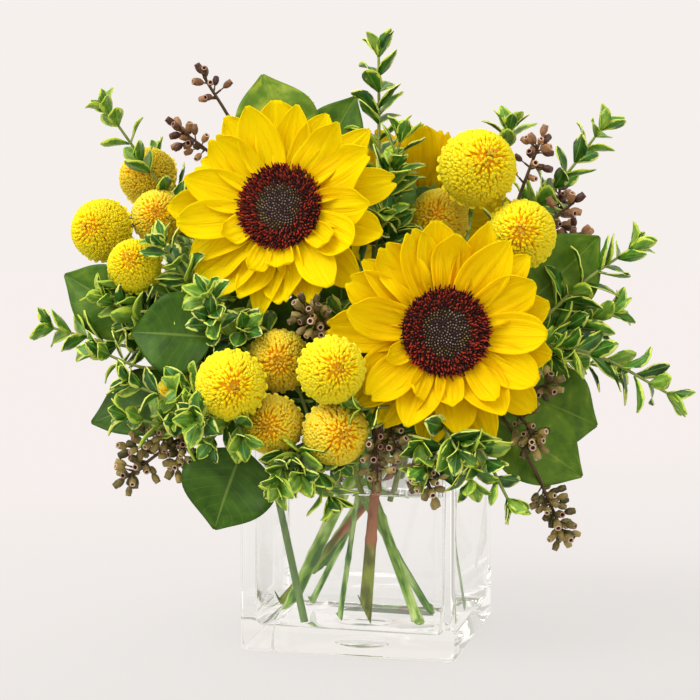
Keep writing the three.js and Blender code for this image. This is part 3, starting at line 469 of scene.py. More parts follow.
def spun(shape, root, ahead, radius, length, roll=0.0):
    """The points of an upright shape, such as a capsule, whose axis runs ahead from root."""
    side, up, way = frame_of(ahead)
    across, deep = outward(side, up, roll), outward(up, -side, roll)
    return root + shape.points @ np.array((radius * across, radius * deep, length * way))


# %% [markdown]
# ## Stems
# A stem is a long tube with a smooth middle line. Drawn by hand it would be a path with a round
# bevel, thicker at its foot, and turned into a mesh at the end. All the stems of one branch are
# drawn in one curve object, which becomes one shape.

# %% The stem tool
def drawn_stems(name, lines, roundness):
    """Round stems along lines of (points, radius at each point), as one shape."""
    leave_all()
    bpy.ops.curve.primitive_nurbs_path_add()
    path = bpy.context.object
    path.name = name
    path.data.splines.clear()
    path.data.bevel_depth = 1
    path.data.bevel_resolution = roundness
    path.data.use_fill_caps = True
    path.data.twist_mode = "MINIMUM"
    for points, radii in lines:
        spline = path.data.splines.new("POLY")
        spline.points.add(len(points) - 1)
        spline.points.foreach_set("co", np.c_[points, np.ones(len(points))].ravel())
        spline.points.foreach_set("radius", np.asarray(radii, float))
    alone(path)
    bpy.ops.object.convert(target="MESH")
    return Shape(bpy.context.object)


def tapered(points, low, high):
    return points, np.linspace(low, high, len(points))


def twig_of(node_name, stem, index, places, radii, taper):
    """A twig that leaves its stem near the top, each a little lower: its points and its line."""
    start = tuple(on_stem(stem, STEM_STEPS, 0.98 - 0.08 * index)[0])
    points = pushed(node_name, (start, *places), radii, 3, TWIG_STEPS)
    return points, tapered(centre_line(points, TWIG_STEPS, 6), *taper)


def cut_slanting(points, foot, radius, turn, steep):
    """A stem's foot as a knife cuts it: what lies below a slanting plane is raised to it."""
    from_foot = points - np.asarray(foot)
    aside = from_foot[:, :2] @ np.array((math.cos(turn), math.sin(turn)))
    near = (np.linalg.norm(from_foot[:, :2], axis=1) < 3 * radius) & (
        from_foot[:, 2] < 2.2 * steep * radius)
    plane = foot[2] + steep * (aside + radius)
    points[near, 2] = np.maximum(points[near, 2], plane[near])


def with_nodes(line, places, swell=0.22, flare=0.12):
    """A standing stem with swollen nodes at some heights and a slightly flared foot."""
    points, radii = line
    heights = points[:, 2]
    grown = 1 + flare * np.exp(-((heights - heights[0]) / 4) ** 2)
    for place in places:
        grown = grown + swell * np.exp(-((heights - place) / 2.2) ** 2)
    return points, radii * grown


# %% [markdown]
# ## Colours and materials
# Every colour is written as the sRGB hex value that a picture shows, and one function turns it
# into the linear light that the renderer works in. One function adds a node with its settings
# and its links, so that each material below reads as a short recipe. What is the same all over a
# surface is set on the shader's own socket.

# %% Material tools
def colour(code):
    """An sRGB hex colour as linear red, green, blue and alpha."""
    parts = [int(code[i:i + 2], 16) / 255 for i in (1, 3, 5)]
    return (*(p / 12.92 if p <= 0.04045 else ((p + 0.055) / 1.055) ** 2.4 for p in parts), 1)


def node(tree, kind, *values, out=0, stops=(), **settings):
    """Adds a node with its settings and links, and returns one of its outputs.

    kind may end with a mode, as in "Math ADD". values fill the first sockets in their order, or
    are one dict of sockets by name: numbers, hex colours, or outputs of other nodes."""
    kind, _, mode = kind.partition(" ")
    made = tree.nodes.new("ShaderNode" + kind)
    sockets = range(len(values))
    if kind == "Mix":
        made.data_type, sockets, out = "RGBA", (0, 6, 7), 2
    if mode:
        setattr(made, "blend_type" if kind == "Mix" else "operation", mode)
    for name, value in settings.items():
        setattr(made, name, value)
    given = values[0] if values and isinstance(values[0], dict) else dict(zip(sockets, values))
    for socket, value in given.items():
        if isinstance(value, bpy.types.NodeSocket):
            tree.links.new(value, made.inputs[socket])
        else:
            made.inputs[socket].default_value = colour(value) if isinstance(value, str) else value
    if stops:
        steps = made.color_ramp.elements
        while len(steps) < len(stops):
            steps.new(0.5)
        for step, (place, code) in zip(steps, stops):
            step.position, step.color = place, colour(code)
    return made.outputs[out] if made.outputs else None


def new_material(name):
    """An empty material, and the function that adds nodes to it."""
    material = bpy.data.materials.new(name)
    material.use_nodes = True
    material.node_tree.nodes.clear()
    return material, partial(node, material.node_tree)


print("mid grey as linear light:", round(colour("#808080")[0], 3))

# %% Maps, streaks and the main shader
def own_map(add):
    """The UV map, its two numbers across and along the piece, and the copy's own number."""
    places = add("UVMap", uv_map="UVMap")
    return (places, add("SeparateXYZ", places), add("SeparateXYZ", places, out=1),
            add("Attribute", attribute_name="tint", out="Fac"))


def streaks(add, across, along, detail=3):
    """Noise drawn out along the blade, as veins are, and different on each copy.

    across and along are how many show."""
    places, _, _, tint = own_map(add)
    stretched = add("Mapping", {"Vector": places, "Location": add("Math MULTIPLY", tint, 40.0),
                                "Scale": (across, along, 1)})
    return add("TexNoise", {"Vector": stretched, "Scale": 1.0, "Detail": detail},
               noise_dimensions="2D")


def surface(add, base, roughness, specular, height, strength, distance):
    """The main shader with a bump, as most of the finishes here have it."""
    bump = add("Bump", {"Height": height, "Strength": strength, "Distance": distance})
    return add("BsdfPrincipled", {"Base Color": base, "Roughness": roughness,
                                  "Specular IOR Level": specular, "Normal": bump})


# %% [markdown]
# ## Petals
# A ray petal is a thin sheet of cells full of yellow carotenoid: matt, faintly velvety, with fine
# veins along it, warmer and more orange near the root. Near the root its grooves also have painted
# shade: darker orange lines. Light comes through it, so part of what leaves its face entered from
# behind. That part is a Translucent shader, mixed with the plain one.

# %% Petal material
def petal_material(name, root, middle, tip, line):
    material, add = new_material(name)
    _, _, along, tint = own_map(add)
    fade = add("ValToRGB", along, stops=((0.0, root), (0.28, middle), (1.0, tip)))
    fine, broad = streaks(add, 34, 1.6), streaks(add, 11, 1.1, 2)
    toned = add("Mix MULTIPLY", add("Math MULTIPLY", fine, 0.4), fade, "#f4c050")
    # Painted shade: near the root, darker orange lines in the colour line where the broad noise
    # sinks the grooves.
    groove_shade = add("MapRange", broad, 0.34, 0.47, 0.75, 0.0)
    near_root = add("MapRange", along, 0.05, 0.75, 1.0, 0.12)
    lined = add("Mix", add("Math MULTIPLY", groove_shade, near_root), toned, line)
    warm = add("Mix", add("Math MULTIPLY", tint, 0.35), lined, middle)
    grooves = add("Math ADD", fine, add("Math MULTIPLY", broad, 1.5))
    plain = surface(add, warm, 0.55, 0.05, grooves, 0.55, 0.001)
    add("OutputMaterial", add("MixShader", 0.3, plain, add("BsdfTranslucent", warm)))
    return material


PETAL_LEMON = petal_material("lemon_ray_petal", "#f7b000", "#ffea00", "#fff200", "#e08400")
PETAL_GOLD = petal_material("golden_ray_petal", "#f09800", "#ffe000", "#ffee00", "#d87400")
print("petal materials", PETAL_LEMON.name, PETAL_GOLD.name)

# %% [markdown]
# ## Discs, stems and capsules
# Small soft parts need only a mottle between two tones, and each copy leans to one of them. A
# green stem has ribs along it. The bark of eucalyptus is olive where it stands in the water, red
# above it and brown on the twigs, with fibres along it.

# %% Plant tissue, stem skin and bark
RIBS_ROUND = 9


def plain_plant(name, dark, light, roughness, scale=60, bump=0.25, drawn_out=1.0):
    """Plant tissue with a soft mottle between two tones, by Object coordinates in metres.

    drawn_out is how much longer the mottle is up a stem than across it."""
    material, add = new_material(name)
    places = add("Mapping", {"Vector": add("TexCoord", out="Object"),
                             "Scale": (1, 1, 1 / drawn_out)})
    mottle = add("TexNoise", {"Vector": places, "Scale": scale, "Detail": 4})
    tones = add("ValToRGB", add("Mix", 0.5, mottle, own_map(add)[3]),
                stops=((0.3, dark), (0.7, light)))
    add("OutputMaterial", surface(add, tones, roughness, 0.35, mottle, bump, 0.0004))
    return material


def stem_skin(name, dark, middle, light):
    """A ribbed green stem: the ribs run along it, by its own UV map, over a soft mottle. Their pale
    and dark stripes are partly the stem's own colour and partly painted highlight and shade.
    """
    material, add = new_material(name)
    ribs_and_painted_sheen = streaks(add, RIBS_ROUND, 3.0, 2)
    mottle = add("TexNoise", {"Vector": add("TexCoord", out="Object"), "Scale": 140, "Detail": 3})
    tones = add("ValToRGB", add("Mix", 0.15, ribs_and_painted_sheen, mottle),
                stops=((0.34, dark), (0.5, middle), (0.66, light)))
    add("OutputMaterial", surface(add, tones, 0.4, 0.35, ribs_and_painted_sheen, 0.8, 0.0008))
    return material


def bark_material():
    material, add = new_material("eucalyptus_bark")
    places = add("TexCoord", out="Object")
    mottle = add("TexNoise", {"Vector": places, "Scale": 260, "Detail": 4})
    height = add("SeparateXYZ", places, out=2)
    wavy = add("Math ADD", add("Math MULTIPLY", height, 5.0), add("Math MULTIPLY", mottle, 0.08))
    bark = add("ValToRGB", wavy, stops=((0.1, "#7c8a1c"), (0.33, "#9dac3c"), (0.36, "#bf7e50"),
                                        (0.55, "#9a5a34"), (0.66, "#6d4428"), (0.85, "#5c3c24")))
    flat = add("Mapping", {"Vector": places, "Scale": (1, 1, 0)})
    from_middle = add("VectorMath LENGTH", flat, out=1)
    on_twig = add("MapRange", from_middle, 0.06, 0.075, 0.0, 1.0)
    twig = add("Mix", on_twig, bark, "#584428")
    fibres = add("MapRange", streaks(add, RIBS_ROUND, 3.0, 2), 0.35, 0.6, 0.7, 0.0)
    lined = add("Mix MULTIPLY", fibres, twig, "#7c6a40")
    add("OutputMaterial", surface(add, lined, 0.6, 0.3, mottle, 0.3, 0.0004))
    return material


# %% Disc, stem and capsule materials
# Open disc florets are a maroon brush, the buds in the middle have a waxy grey bloom, and the
# ones between are olive. The cushion under them is painted nearly black, a painted shade, so the
# gaps look deep.
DISC_RING = plain_plant("maroon_disc_floret", "#3c0a04", "#b4361a", 0.8, 900)
DISC_MIDDLE = plain_plant("closed_disc_floret", "#3a2a22", "#a08c80", 0.85, 900)
DISC_FRINGE = plain_plant("opening_disc_floret", "#4a3416", "#a08c4a", 0.85, 900)
DISC_GAP_SHADE = plain_plant("disc_cushion_painted_shade", "#1c0d08", "#44281c", 0.9, 900)
# Fresh stems are slightly glossy, with pale ribs that carry a painted highlight. The calyx is
# duller, because it is hairy.
STEM_GREEN = stem_skin("sunflower_stem_skin", "#3f6e10", "#86b436", "#d6ec8c")
SPRAY_GREEN = stem_skin("pom_stem_skin", "#3a6a18", "#78a840", "#c4e08a")
CALYX_GREEN = plain_plant("calyx_skin", "#4f7a2a", "#83a546", 0.6, 160)
TWIG_BROWN = bark_material()
# Boxwood's young bark is matt yellow-green, and a salal stalk is streaked along its length.
BOX_TWIG = plain_plant("boxwood_bark", "#6a7a35", "#9aa552", 0.65, 300)
SALAL_STALK = plain_plant("salal_stalk_skin", "#4a7034", "#8bab5c", 0.5, 400, 0.3, 7)
# A capsule's skin is leathery, olive when green and rust-brown when ripe, with a dry pale rim
# round a hole that is painted near black, a painted shade for its depth.
CAPSULE_OLIVE = plain_plant("green_seed_capsule", "#3e3810", "#a08c4e", 0.5, 420)
CAPSULE_RED = plain_plant("ripe_seed_capsule", "#42241a", "#a87a50", 0.5, 420)
CAPSULE_RIM = plain_plant("capsule_rim", "#9a705c", "#d8b8a0", 0.6, 400)
CAPSULE_HOLE_SHADE = plain_plant("capsule_hole_painted_shade", "#160c08", "#3a2018", 0.9, 400)
print("materials so far", len(bpy.data.materials))

# %% [markdown]
# ## Leaves
# Boxwood of this sort has a dark green leaf with a cream-yellow margin, as wide on one leaf as it
# is thin on the next. The margin is found from the UV map: how far a place is from the midrib,
# made uneven by noise. Salal is one even, leathery green with a pale midrib and side veins, and a
# waxy gloss.

# %% Leaf materials
def leaf_map(add):
    """How far a place is from the midrib and along the leaf, and the leaf's own number."""
    _, across, along, tint = own_map(add)
    from_rib = add("Math ABSOLUTE", add("Math SUBTRACT", across, 0.5))
    return add("Math MULTIPLY", from_rib, 2.0), along, tint


def boxwood_material():
    material, add = new_material("variegated_boxwood_leaf")
    from_rib, along, tint = leaf_map(add)
    to_tip = add("Math MULTIPLY", add("Math POWER", along, 6.0), 0.5)
    blotch = streaks(add, 3, 2.4, 3)
    uneven = add("Math MULTIPLY", add("Math SUBTRACT", blotch, 0.5), 1.5)
    edge = add("Math ADD", add("Math ADD", from_rib, to_tip), uneven)
    reach = add("Math ADD", edge, add("Math MULTIPLY", tint, 0.2))
    margin = add("MapRange", reach, 0.86, 1.0, 0.0, 1.0)
    share = add("Math ADD", add("Math MULTIPLY", blotch, 0.6), add("Math MULTIPLY", tint, 0.4))
    green = add("ValToRGB", share, stops=((0.25, "#1f4714"), (0.48, "#477d24"), (0.7, "#80a63a"),
                                          (0.92, "#aec454")))
    ribbed = add("Mix", add("MapRange", from_rib, 0.03, 0.1, 0.4, 0.0), green, "#a9c66a")
    lime = add("ValToRGB", tint, stops=((0.0, "#e2e67a"), (0.5, "#cbd94a"), (1.0, "#b4cc40")))
    both = add("Mix", margin, ribbed, lime)
    add("OutputMaterial", surface(add, both, 0.4, 0.3, from_rib, 0.2, 0.0006))
    return material


def salal_material():
    material, add = new_material("salal_leaf")
    from_rib, along, tint = leaf_map(add)
    slanted = add("Math SUBTRACT", add("Math MULTIPLY", along, 9.0),
                  add("Math MULTIPLY", from_rib, 2.2))
    wave = add("Math ABSOLUTE", add("Math SINE", add("Math MULTIPLY", slanted, math.pi)))
    side_vein = add("MapRange", wave, 0.0, 0.14, 0.22, 0.0)
    rib = add("MapRange", from_rib, 0.01, 0.045, 0.5, 0.0)
    vein = add("Math MAXIMUM", rib, side_vein)
    mottle = streaks(add, 4, 6, 5)
    share = add("Math ADD", add("Math MULTIPLY", mottle, 0.5), add("Math MULTIPLY", tint, 0.5))
    green = add("ValToRGB", share, stops=((0.2, "#27420c"), (0.45, "#3f6214"), (0.62, "#5f7e1e"),
                                          (0.8, "#a0ac34")))
    veined = add("Mix", vein, green, "#7d9440")
    height = add("Math SUBTRACT", add("Math MULTIPLY", mottle, 0.3), vein)
    add("OutputMaterial", surface(add, veined, 0.45, 0.14, height, 0.35, 0.0006))
    return material


BOX_LEAF = boxwood_material()
SALAL_LEAF = salal_material()
print("leaf materials", BOX_LEAF.name, SALAL_LEAF.name)


# %% Pom floret materials
def floret_material(name, deep, middle, tip):
    """A short floret, deep orange at its root and pale at its tip. The deep orange is painted shade
    where the florets crowd.
    """
    material, add = new_material(name)
    _, _, along, tint = own_map(add)
    # Painted shade: the deep colour at the floret's root.
    fade = add("ValToRGB", along, stops=((0.25, deep), (0.7, middle), (1.0, tip)))
    toned = add("Mix", add("Math MULTIPLY", tint, 0.4), fade, middle)
    add("OutputMaterial", add("BsdfPrincipled", {
        "Base Color": toned, "Roughness": 0.7, "Specular IOR Level": 0.04,
        "Subsurface Weight": 0.1, "Subsurface Scale": 0.0015}))
    return material


FLORETS = {"lemon": floret_material("lemon_floret", "#f0b400", "#ffe000", "#fff23c"),
           "gold": floret_material("golden_floret", "#f2a400", "#ffd000", "#fff05a")}
FLORET_EYE = floret_material("unopened_floret", "#8a5c08", "#dcae1a", "#f4d444")
# The core under the florets is painted a deep yellow: a painted shade for the gaps between them.
FLORET_CORE_SHADE = plain_plant("pom_core_painted_shade", "#dc9a08", "#f8c416", 0.9, 300)
print("floret materials", *FLORETS, FLORET_EYE.name)

# %% [markdown]
# ## Glass and water
# The vase is pressed soda-lime glass: clear, with a trace of green in the thick base, and an
# index of refraction of 1.52. Water's is 1.33. Where water lies against glass there is one surface,
# and light bends there by the ratio of the two, 1.14. So the vase's wetted faces have a material
# with that ratio, and the water's own sides let light straight through. Glass and water would
# throw only focused light on the stems inside, which a few samples can't find, so for light from
# the lamps they count as clear. Light that is caught between two walls comes out after a dozen
# reflections, more than a renderer follows, and would be lost and leave black bars. So where a ray
# has been reflected four times it finds the soft grey of the room on the glass instead.

# %% Glass and water materials
GLASS_IOR, WATER_IOR = 1.52, 1.33
ROOM_LIGHT_GLOW = "#92908a"
REFLECTIONS = 3.5


def clear_material(name, tint, ior):
    material, add = new_material(name)
    # Painted light: a face that a ray meets after more than three reflections glows with the room's
    # grey, in place of the light that is no longer followed.
    caught = add("Math GREATER_THAN", add("LightPath", out="Glossy Depth"), REFLECTIONS)
    bent = add("BsdfPrincipled", {
        "Base Color": tint, "Roughness": 0.0, "IOR": ior, "Transmission Weight": 1.0,
        "Emission Color": ROOM_LIGHT_GLOW, "Emission Strength": caught})
    from_lamps = add("LightPath", out="Is Shadow Ray")
    add("OutputMaterial", add("MixShader", from_lamps, bent, add("BsdfTransparent", "#ffffff")))
    material.cycles.emission_sampling = "NONE"
    return material


GLASS = clear_material("pressed_soda_lime_glass", "#fefffe", GLASS_IOR)
WETTED = clear_material("soda_lime_glass_against_water", "#ffffff", GLASS_IOR / WATER_IOR)
BASE = clear_material("soda_lime_glass_of_the_base", "#f6f8f4", GLASS_IOR)
WATER = clear_material("vase_water", "#ffffff", WATER_IOR)
# The water's sides, where the glass has already bent the light.
WATER_SIDE, add_node = new_material("water_against_glass")
add_node("OutputMaterial", add_node("BsdfTransparent", "#ffffff"))
print("clear materials", GLASS.name, WETTED.name, BASE.name, WATER.name, WATER_SIDE.name)

# %% [markdown]
# ## The vase
# A glass cube with thick walls and a thicker floor. It is pressed, so its outer corners are sharp
# and its inner corners, where the plunger was, are rounder. A block gives the outside, and a
# second block with rounder corners is cut out of it. Every edge is then rounded as molten glass
# rounds it, and under the floor the mould leaves a shallow round dimple.

# %% Rounded glass blocks
INSIDE = VASE_SIDE - 2 * WALL
INNER_CORNER, INNER_FLOOR_EDGE = (0.006, 8), (0.0045, 5)
OUTER_CORNER, FOOT_EDGE, RIM_EDGE = (0.003, 6), (0.0022, 4), (0.0016, 4)
DIMPLE_RADIUS, DIMPLE_FLATNESS = 0.017, 0.1
TINY = 1e-5


def bevel_edges(piece, test, rounding):
    """In edit mode, rounds the edges whose two ends pass the test, by (width, segments)."""
    width, segments = rounding
    pick(piece, "EDGE", lambda edge: test(edge.verts[0].co, edge.verts[1].co))
    bpy.ops.mesh.bevel(offset=width, segments=segments, profile=0.5, affect="EDGES")


def upright_block(name, side, low, high, corner, low_edge):
    """A square block from low to high, with its upright edges and its lower ones rounded."""
    block = begin(name, bpy.ops.mesh.primitive_cube_add, size=1)
    bpy.ops.transform.resize(value=(side, side, high - low))
    bpy.ops.transform.translate(value=(0, 0, (high + low) / 2))
    bevel_edges(block, lambda a, b: abs(a.z - b.z) > (high - low) / 2, corner)
    bevel_edges(block, lambda a, b: max(a.z, b.z) < low + TINY, low_edge)
    return block


# %% Model the vase
def make_vase():
    side, inside, height, floor, water_level = (
        size / 1000 for size in (VASE_SIDE, INSIDE, VASE_HEIGHT, FLOOR, WATER_LEVEL))
    plunger = upright_block("plunger", inside, floor, height + 0.01, INNER_CORNER, INNER_FLOOR_EDGE)
    vase = upright_block("glass_vase", side, 0, height, OUTER_CORNER, FOOT_EDGE)
    finish_with(vase, "BOOLEAN", operation="DIFFERENCE", object=plunger)
    bpy.ops.object.mode_set(mode="EDIT")

    def outside(place):
        return max(abs(place.x), abs(place.y)) > (side + inside) / 4

    bevel_edges(vase, lambda a, b: min(a.z, b.z) > height - TINY and outside(a) == outside(b),
                RIM_EDGE)
    dimple = begin("mould_dimple", bpy.ops.mesh.primitive_uv_sphere_add, segments=48,
                   ring_count=24, radius=DIMPLE_RADIUS)
    bpy.ops.transform.resize(value=(1, 1, DIMPLE_FLATNESS))
    finish_with(vase, "BOOLEAN", operation="DIFFERENCE", object=dimple)
    bpy.data.objects.remove(dimple)
    bpy.data.objects.remove(plunger)
    alone(vase)
    bpy.ops.object.mode_set(mode="EDIT")
    for level in (water_level, floor - 0.001):
        bpy.ops.mesh.select_all(action="SELECT")
        bpy.ops.mesh.bisect(plane_co=(0, 0, level), plane_no=(0, 0, 1))
    bpy.ops.object.mode_set(mode="OBJECT")
    bpy.ops.object.shade_smooth_by_angle(angle=math.radians(32))
    clothe(vase.data, (GLASS, WETTED, BASE))
    for face in vase.data.polygons:
        place = face.center
        within = max(abs(place.x), abs(place.y)) < inside / 2 + TINY
        face.material_index = 2 if place.z < floor - TINY else int(within and place.z < water_level)
    settle(vase, "clear_glass", "vase")


make_vase()

# %% [markdown]
# ## The water
# The water fills the vase to about three quarters and climbs a little up the glass at its edge,
# as water does. It is one block with the vase's inner corners, and the stems stand in it.

# %% Model the water
INTO_GLASS = 0.0001


def make_water():
    water = upright_block("vase_water_body", INSIDE / 1000 + INTO_GLASS, FLOOR / 1000 - INTO_GLASS,
                          WATER_LEVEL / 1000, INNER_CORNER, INNER_FLOOR_EDGE)
    pick(water, "FACE", looks_up)
    for inward, sunk in ((0.0012, 0.0009), (0.003, 0.0005)):
        bpy.ops.mesh.inset(thickness=inward)
        bpy.ops.transform.translate(value=(0, 0, -sunk))
    bpy.ops.object.mode_set(mode="OBJECT")
    bpy.ops.object.shade_smooth_by_angle(angle=math.radians(40))
    clothe(water.data, (WATER, WATER_SIDE))
    for face in water.data.polygons:
        face.material_index = int(face.normal.z < 0.3)
    settle(water, "water", "water")


make_water()

# %% [markdown]
# ## Heads
# A flower head has a centre and a way that it faces, given by its turn off the front and its tilt
# up. The lists repeat what the solid model was built from.

# %% Sunflower and pom heads
SUNFLOWERS = {
    "sunflower_a": dict(seed=11, head=((-52, -60, 257), -15, 12), radius=2.9, nodes=(19, 76),
        stem=((29, -42, 15.5), (0, -29, 97), (-10, -27, 130), (-32, -18, 195))),
    "sunflower_b": dict(seed=12, head=((39.5, -86, 188), 3, 4), radius=3.7, nodes=(26, 52),
        stem=((-47, -12, 17), (-11, -20, 97), (3, -22, 128), (22, -30, 160))),
    "sunflower_c": dict(seed=13, head=((31, 50, 258), 172, 38), radius=3.2, nodes=(60,),
        stem=((-29, 12, 36), (7, 5, 97), (13, 10, 128), (20, 22, 190))),
}
# Each pom has its centre, its size, its turn, its tilt and its tone.
POMS = {
    "pom_left_1": ((-160, -15, 245), 0.97, -22, 14, "lemon"),
    "pom_left_2": ((-137, 22, 278), 0.95, -30, 30, "gold"),
    "pom_left_3": ((-127, -12, 253), 0.84, -10, 12, "gold"),
    "pom_left_4": ((-137, -44, 224), 0.82, -8, 12, "lemon"),
    "pom_right_1": ((60, -45, 280), 1.16, 4, 10, "lemon"),
    "pom_right_2": ((40, -14, 252), 0.92, -12, 18, "gold"),
    "pom_right_3": ((85, -50, 242), 1.03, 4, 4, "lemon"),
    "pom_front_1": ((-78, -97, 160), 1, -4, 6, "lemon"),
    "pom_front_2": ((-53, -66, 171), 0.92, 2, 8, "gold"),
    "pom_front_3": ((-23, -99, 168), 0.96, 4, -2, "lemon"),
    "pom_front_4": ((-56, -80, 136), 0.88, -2, -8, "gold"),
    "pom_front_5": ((-21, -86, 132), 0.95, 2, -8, "gold"),
    "pom_front_6": ((-109, -56, 147), 0.88, -20, 4, "gold"),
    "pom_back_1": ((-70, 62, 246), 1, 208, 32, "lemon"),
    "pom_back_2": ((-30, 96, 190), 1.02, 190, 12, "gold"),
    "pom_back_3": ((46, 104, 176), 1, 165, 12, "lemon"),
}


def head_frame(centre, turn, tilt):
    """The centre of a head, its side, its up and the way it faces."""
    turn, tilt = math.radians(turn), math.radians(tilt)
    level = np.array((math.sin(turn), -math.cos(turn), 0))
    return (np.array(centre, float),
            *frame_along(outward(level, np.array((0, 0, 1)), tilt), (0, 0, 1)))


def set_at(points, centre, side, up, face):
    """Points of a shape that looks up, set at centre so that it looks along face."""
    return centre + points @ np.array((side, up, face))


print("heads", len(SUNFLOWERS) + len(POMS))

# %% [markdown]
# ## Sunflower petals
# Each head has two rings of petals in the solid model. A few short ones, curled over, are set
# among them at the front, as the real flowers have. The petal is broad, grooved along its length,
# widest beyond its middle and blunt, notched or pointed at its tip.

# %% Model the petals
GROOVES = [0.003, 0.0004, 0.0011, -0.0012, 0.0008, -0.0012, 0.0011, 0.0004, 0.003]
BLUNT_WIDTHS = [0.42, 0.58, 0.75, 0.88, 0.97, 1.03, 1.06, 1.03, 0.93, 0.74, 0.42]
POINTED_WIDTHS = [0.42, 0.6, 0.78, 0.91, 0.99, 1.02, 0.99, 0.9, 0.74, 0.5, 0.22]
BLUNT_END = [-0.003, -0.0012, 0.0, -0.0006, 0.0006, -0.0004, 0.0004, -0.001, -0.003]
NOTCHED_END = [-0.003, 0.0, 0.0012, -0.001, -0.0034, -0.0012, 0.001, 0.0002, -0.0028]
POINTED_END = [-0.002, -0.001, 0.0, 0.0008, 0.002, 0.001, 0.0, -0.001, -0.002]
PETALS = [blade_shape(f"ray_petal_{kind}", 0.019, 0.05, GROOVES, widths, 0.00045, ends)
          for kind, widths, ends in (("blunt", BLUNT_WIDTHS, BLUNT_END),
                                     ("notched", BLUNT_WIDTHS, NOTCHED_END),
                                     ("pointed", POINTED_WIDTHS, POINTED_END))]
# %% Lay the petals
PETALS_A_RING, SHORT_PETALS = 13, 4
PETAL_LENGTH, PETAL_ROOT, PETAL_WIDTH, PETAL_ROLL = 50, 12, 19, math.radians(6)
# Each ring is so far behind the head's centre, rises so much, and has its length and curl.
PETAL_RINGS = ((-2.7, 0.07, 0.97, 0.42), (-4.2, -0.02, 1.03, 0.14))


def lay_petals(name, material, slot):
    flower, node_name = SUNFLOWERS[name], f"{name}_petals"
    centre, side, up, face = head_frame(*flower["head"])
    draw, own = seeded(flower["seed"]), seeded(flower["seed"] + 900)
    bunch = Bunch()
    for ring, (behind, rise, longer, curl_of_ring) in enumerate(PETAL_RINGS):
        for k in range(PETALS_A_RING):
            angle = 2 * math.pi * (k + ring / 2) / PETALS_A_RING + spread(draw, 0.04)
            out = outward(side, up, angle)
            length = PETAL_LENGTH * (1 + spread(draw, 0.09)) * longer
            curl = curl_of_ring + spread(draw, 0.1)
            root = centre + out * PETAL_ROOT + face * behind
            _, rolled, way = frame_along(out + face * rise, turned(face, out, PETAL_ROLL))
            lies = found_bend(node_name, f"petal {ring}.{k}", root, way, rolled, length, curl)
            if lies is None:
                continue
            way, rolled, size = lies
            tip = spread(own, 0.35) + (0.8 if own() < 0.2 else 0.1)
            shape = PETALS[int(own() * 3)]
            wide = PETAL_WIDTH * size * (1.2 + spread(own, 0.14))
            bunch.add(shape, laid(shape, root, way, rolled, length * size, wide, curl,
                                  spread(own, 0.45), spread(own, 0.32), tip), own())
    for k in range(SHORT_PETALS):
        out = outward(side, up, math.pi * (1.12 + 0.76 * (k + 0.7 * own()) / SHORT_PETALS))
        root = centre + out * (PETAL_ROOT + 6) - face * 1.6
        _, rolled, way = frame_along(out + face * 0.2, face)
        shape = PETALS[int(own() * 3)]
        bunch.add(shape, laid(shape, root, way, rolled, 27 + spread(own, 7), 15 + spread(own, 3),
                              0.5, spread(own, 0.6), 0.25, 0.9 + spread(own, 0.5)), own())
    bunch.piece(f"ray_petals_{name[-1]}", [material], slot, node_name)


lay_petals("sunflower_a", PETAL_LEMON, "petals_lemon")
lay_petals("sunflower_b", PETAL_GOLD, "petals_gold")
lay_petals("sunflower_c", PETAL_GOLD, "petals_gold")
print("not found so far:", lost)

# %% [markdown]
# ## Seed discs
# The disc is hundreds of tiny tube florets in a spiral. The open ones in the outer ring are dark
# maroon and stand up like a brush. The closed ones in the middle are lower and grey-brown, with a
# fringe of olive ones between. A tube floret is a cone with its top drawn in. The copies follow
# the golden angle, each one 137.5 degrees round from the last, which packs them as the plant
# does. They stand on a low domed cushion, which is a sphere flattened in edit mode.

# %% Model a tube floret and the disc's cushion
def cone_shape(name, sides, low, high, depth, dent):
    """A small upright cone on its base. Its top is drawn in, and raised or sunk by dent."""
    cone = begin(name, bpy.ops.mesh.primitive_cone_add, vertices=sides, radius1=low, radius2=high,
                 depth=depth)
    bpy.ops.transform.translate(value=(0, 0, depth / 2))
    pick(cone, "FACE", looks_up)
    bpy.ops.mesh.inset(thickness=high * 0.45)
    bpy.ops.transform.translate(value=(0, 0, dent))
    return Shape(cone, upright=True)


def cushion_shape(name, radius, height):
    cushion = begin(name, bpy.ops.mesh.primitive_uv_sphere_add, segments=40, ring_count=16,
                    radius=1)
    bpy.ops.transform.resize(value=(radius, radius, height))
    return Shape(cushion)


TUBE_FLORET = cone_shape("tube_floret", 5, 0.62, 0.4, 2.4, 0.3)
CUSHION_RADIUS, CUSHION_HEIGHT, CUSHION_RISE = 24, 4.2, 1.2
DISC_CUSHION = cushion_shape("disc_cushion", CUSHION_RADIUS, CUSHION_HEIGHT)

# %% Lay the seed discs
DISC_FLORETS, DISC_RADIUS, DOME_RADIUS = 760, 24.2, 24.6
RING_FROM, FRINGE_FROM, FRINGE_SHARE = 12.8, 8.5, 0.75
DISC_SKINS = [DISC_RING, DISC_MIDDLE, DISC_FRINGE, DISC_GAP_SHADE]


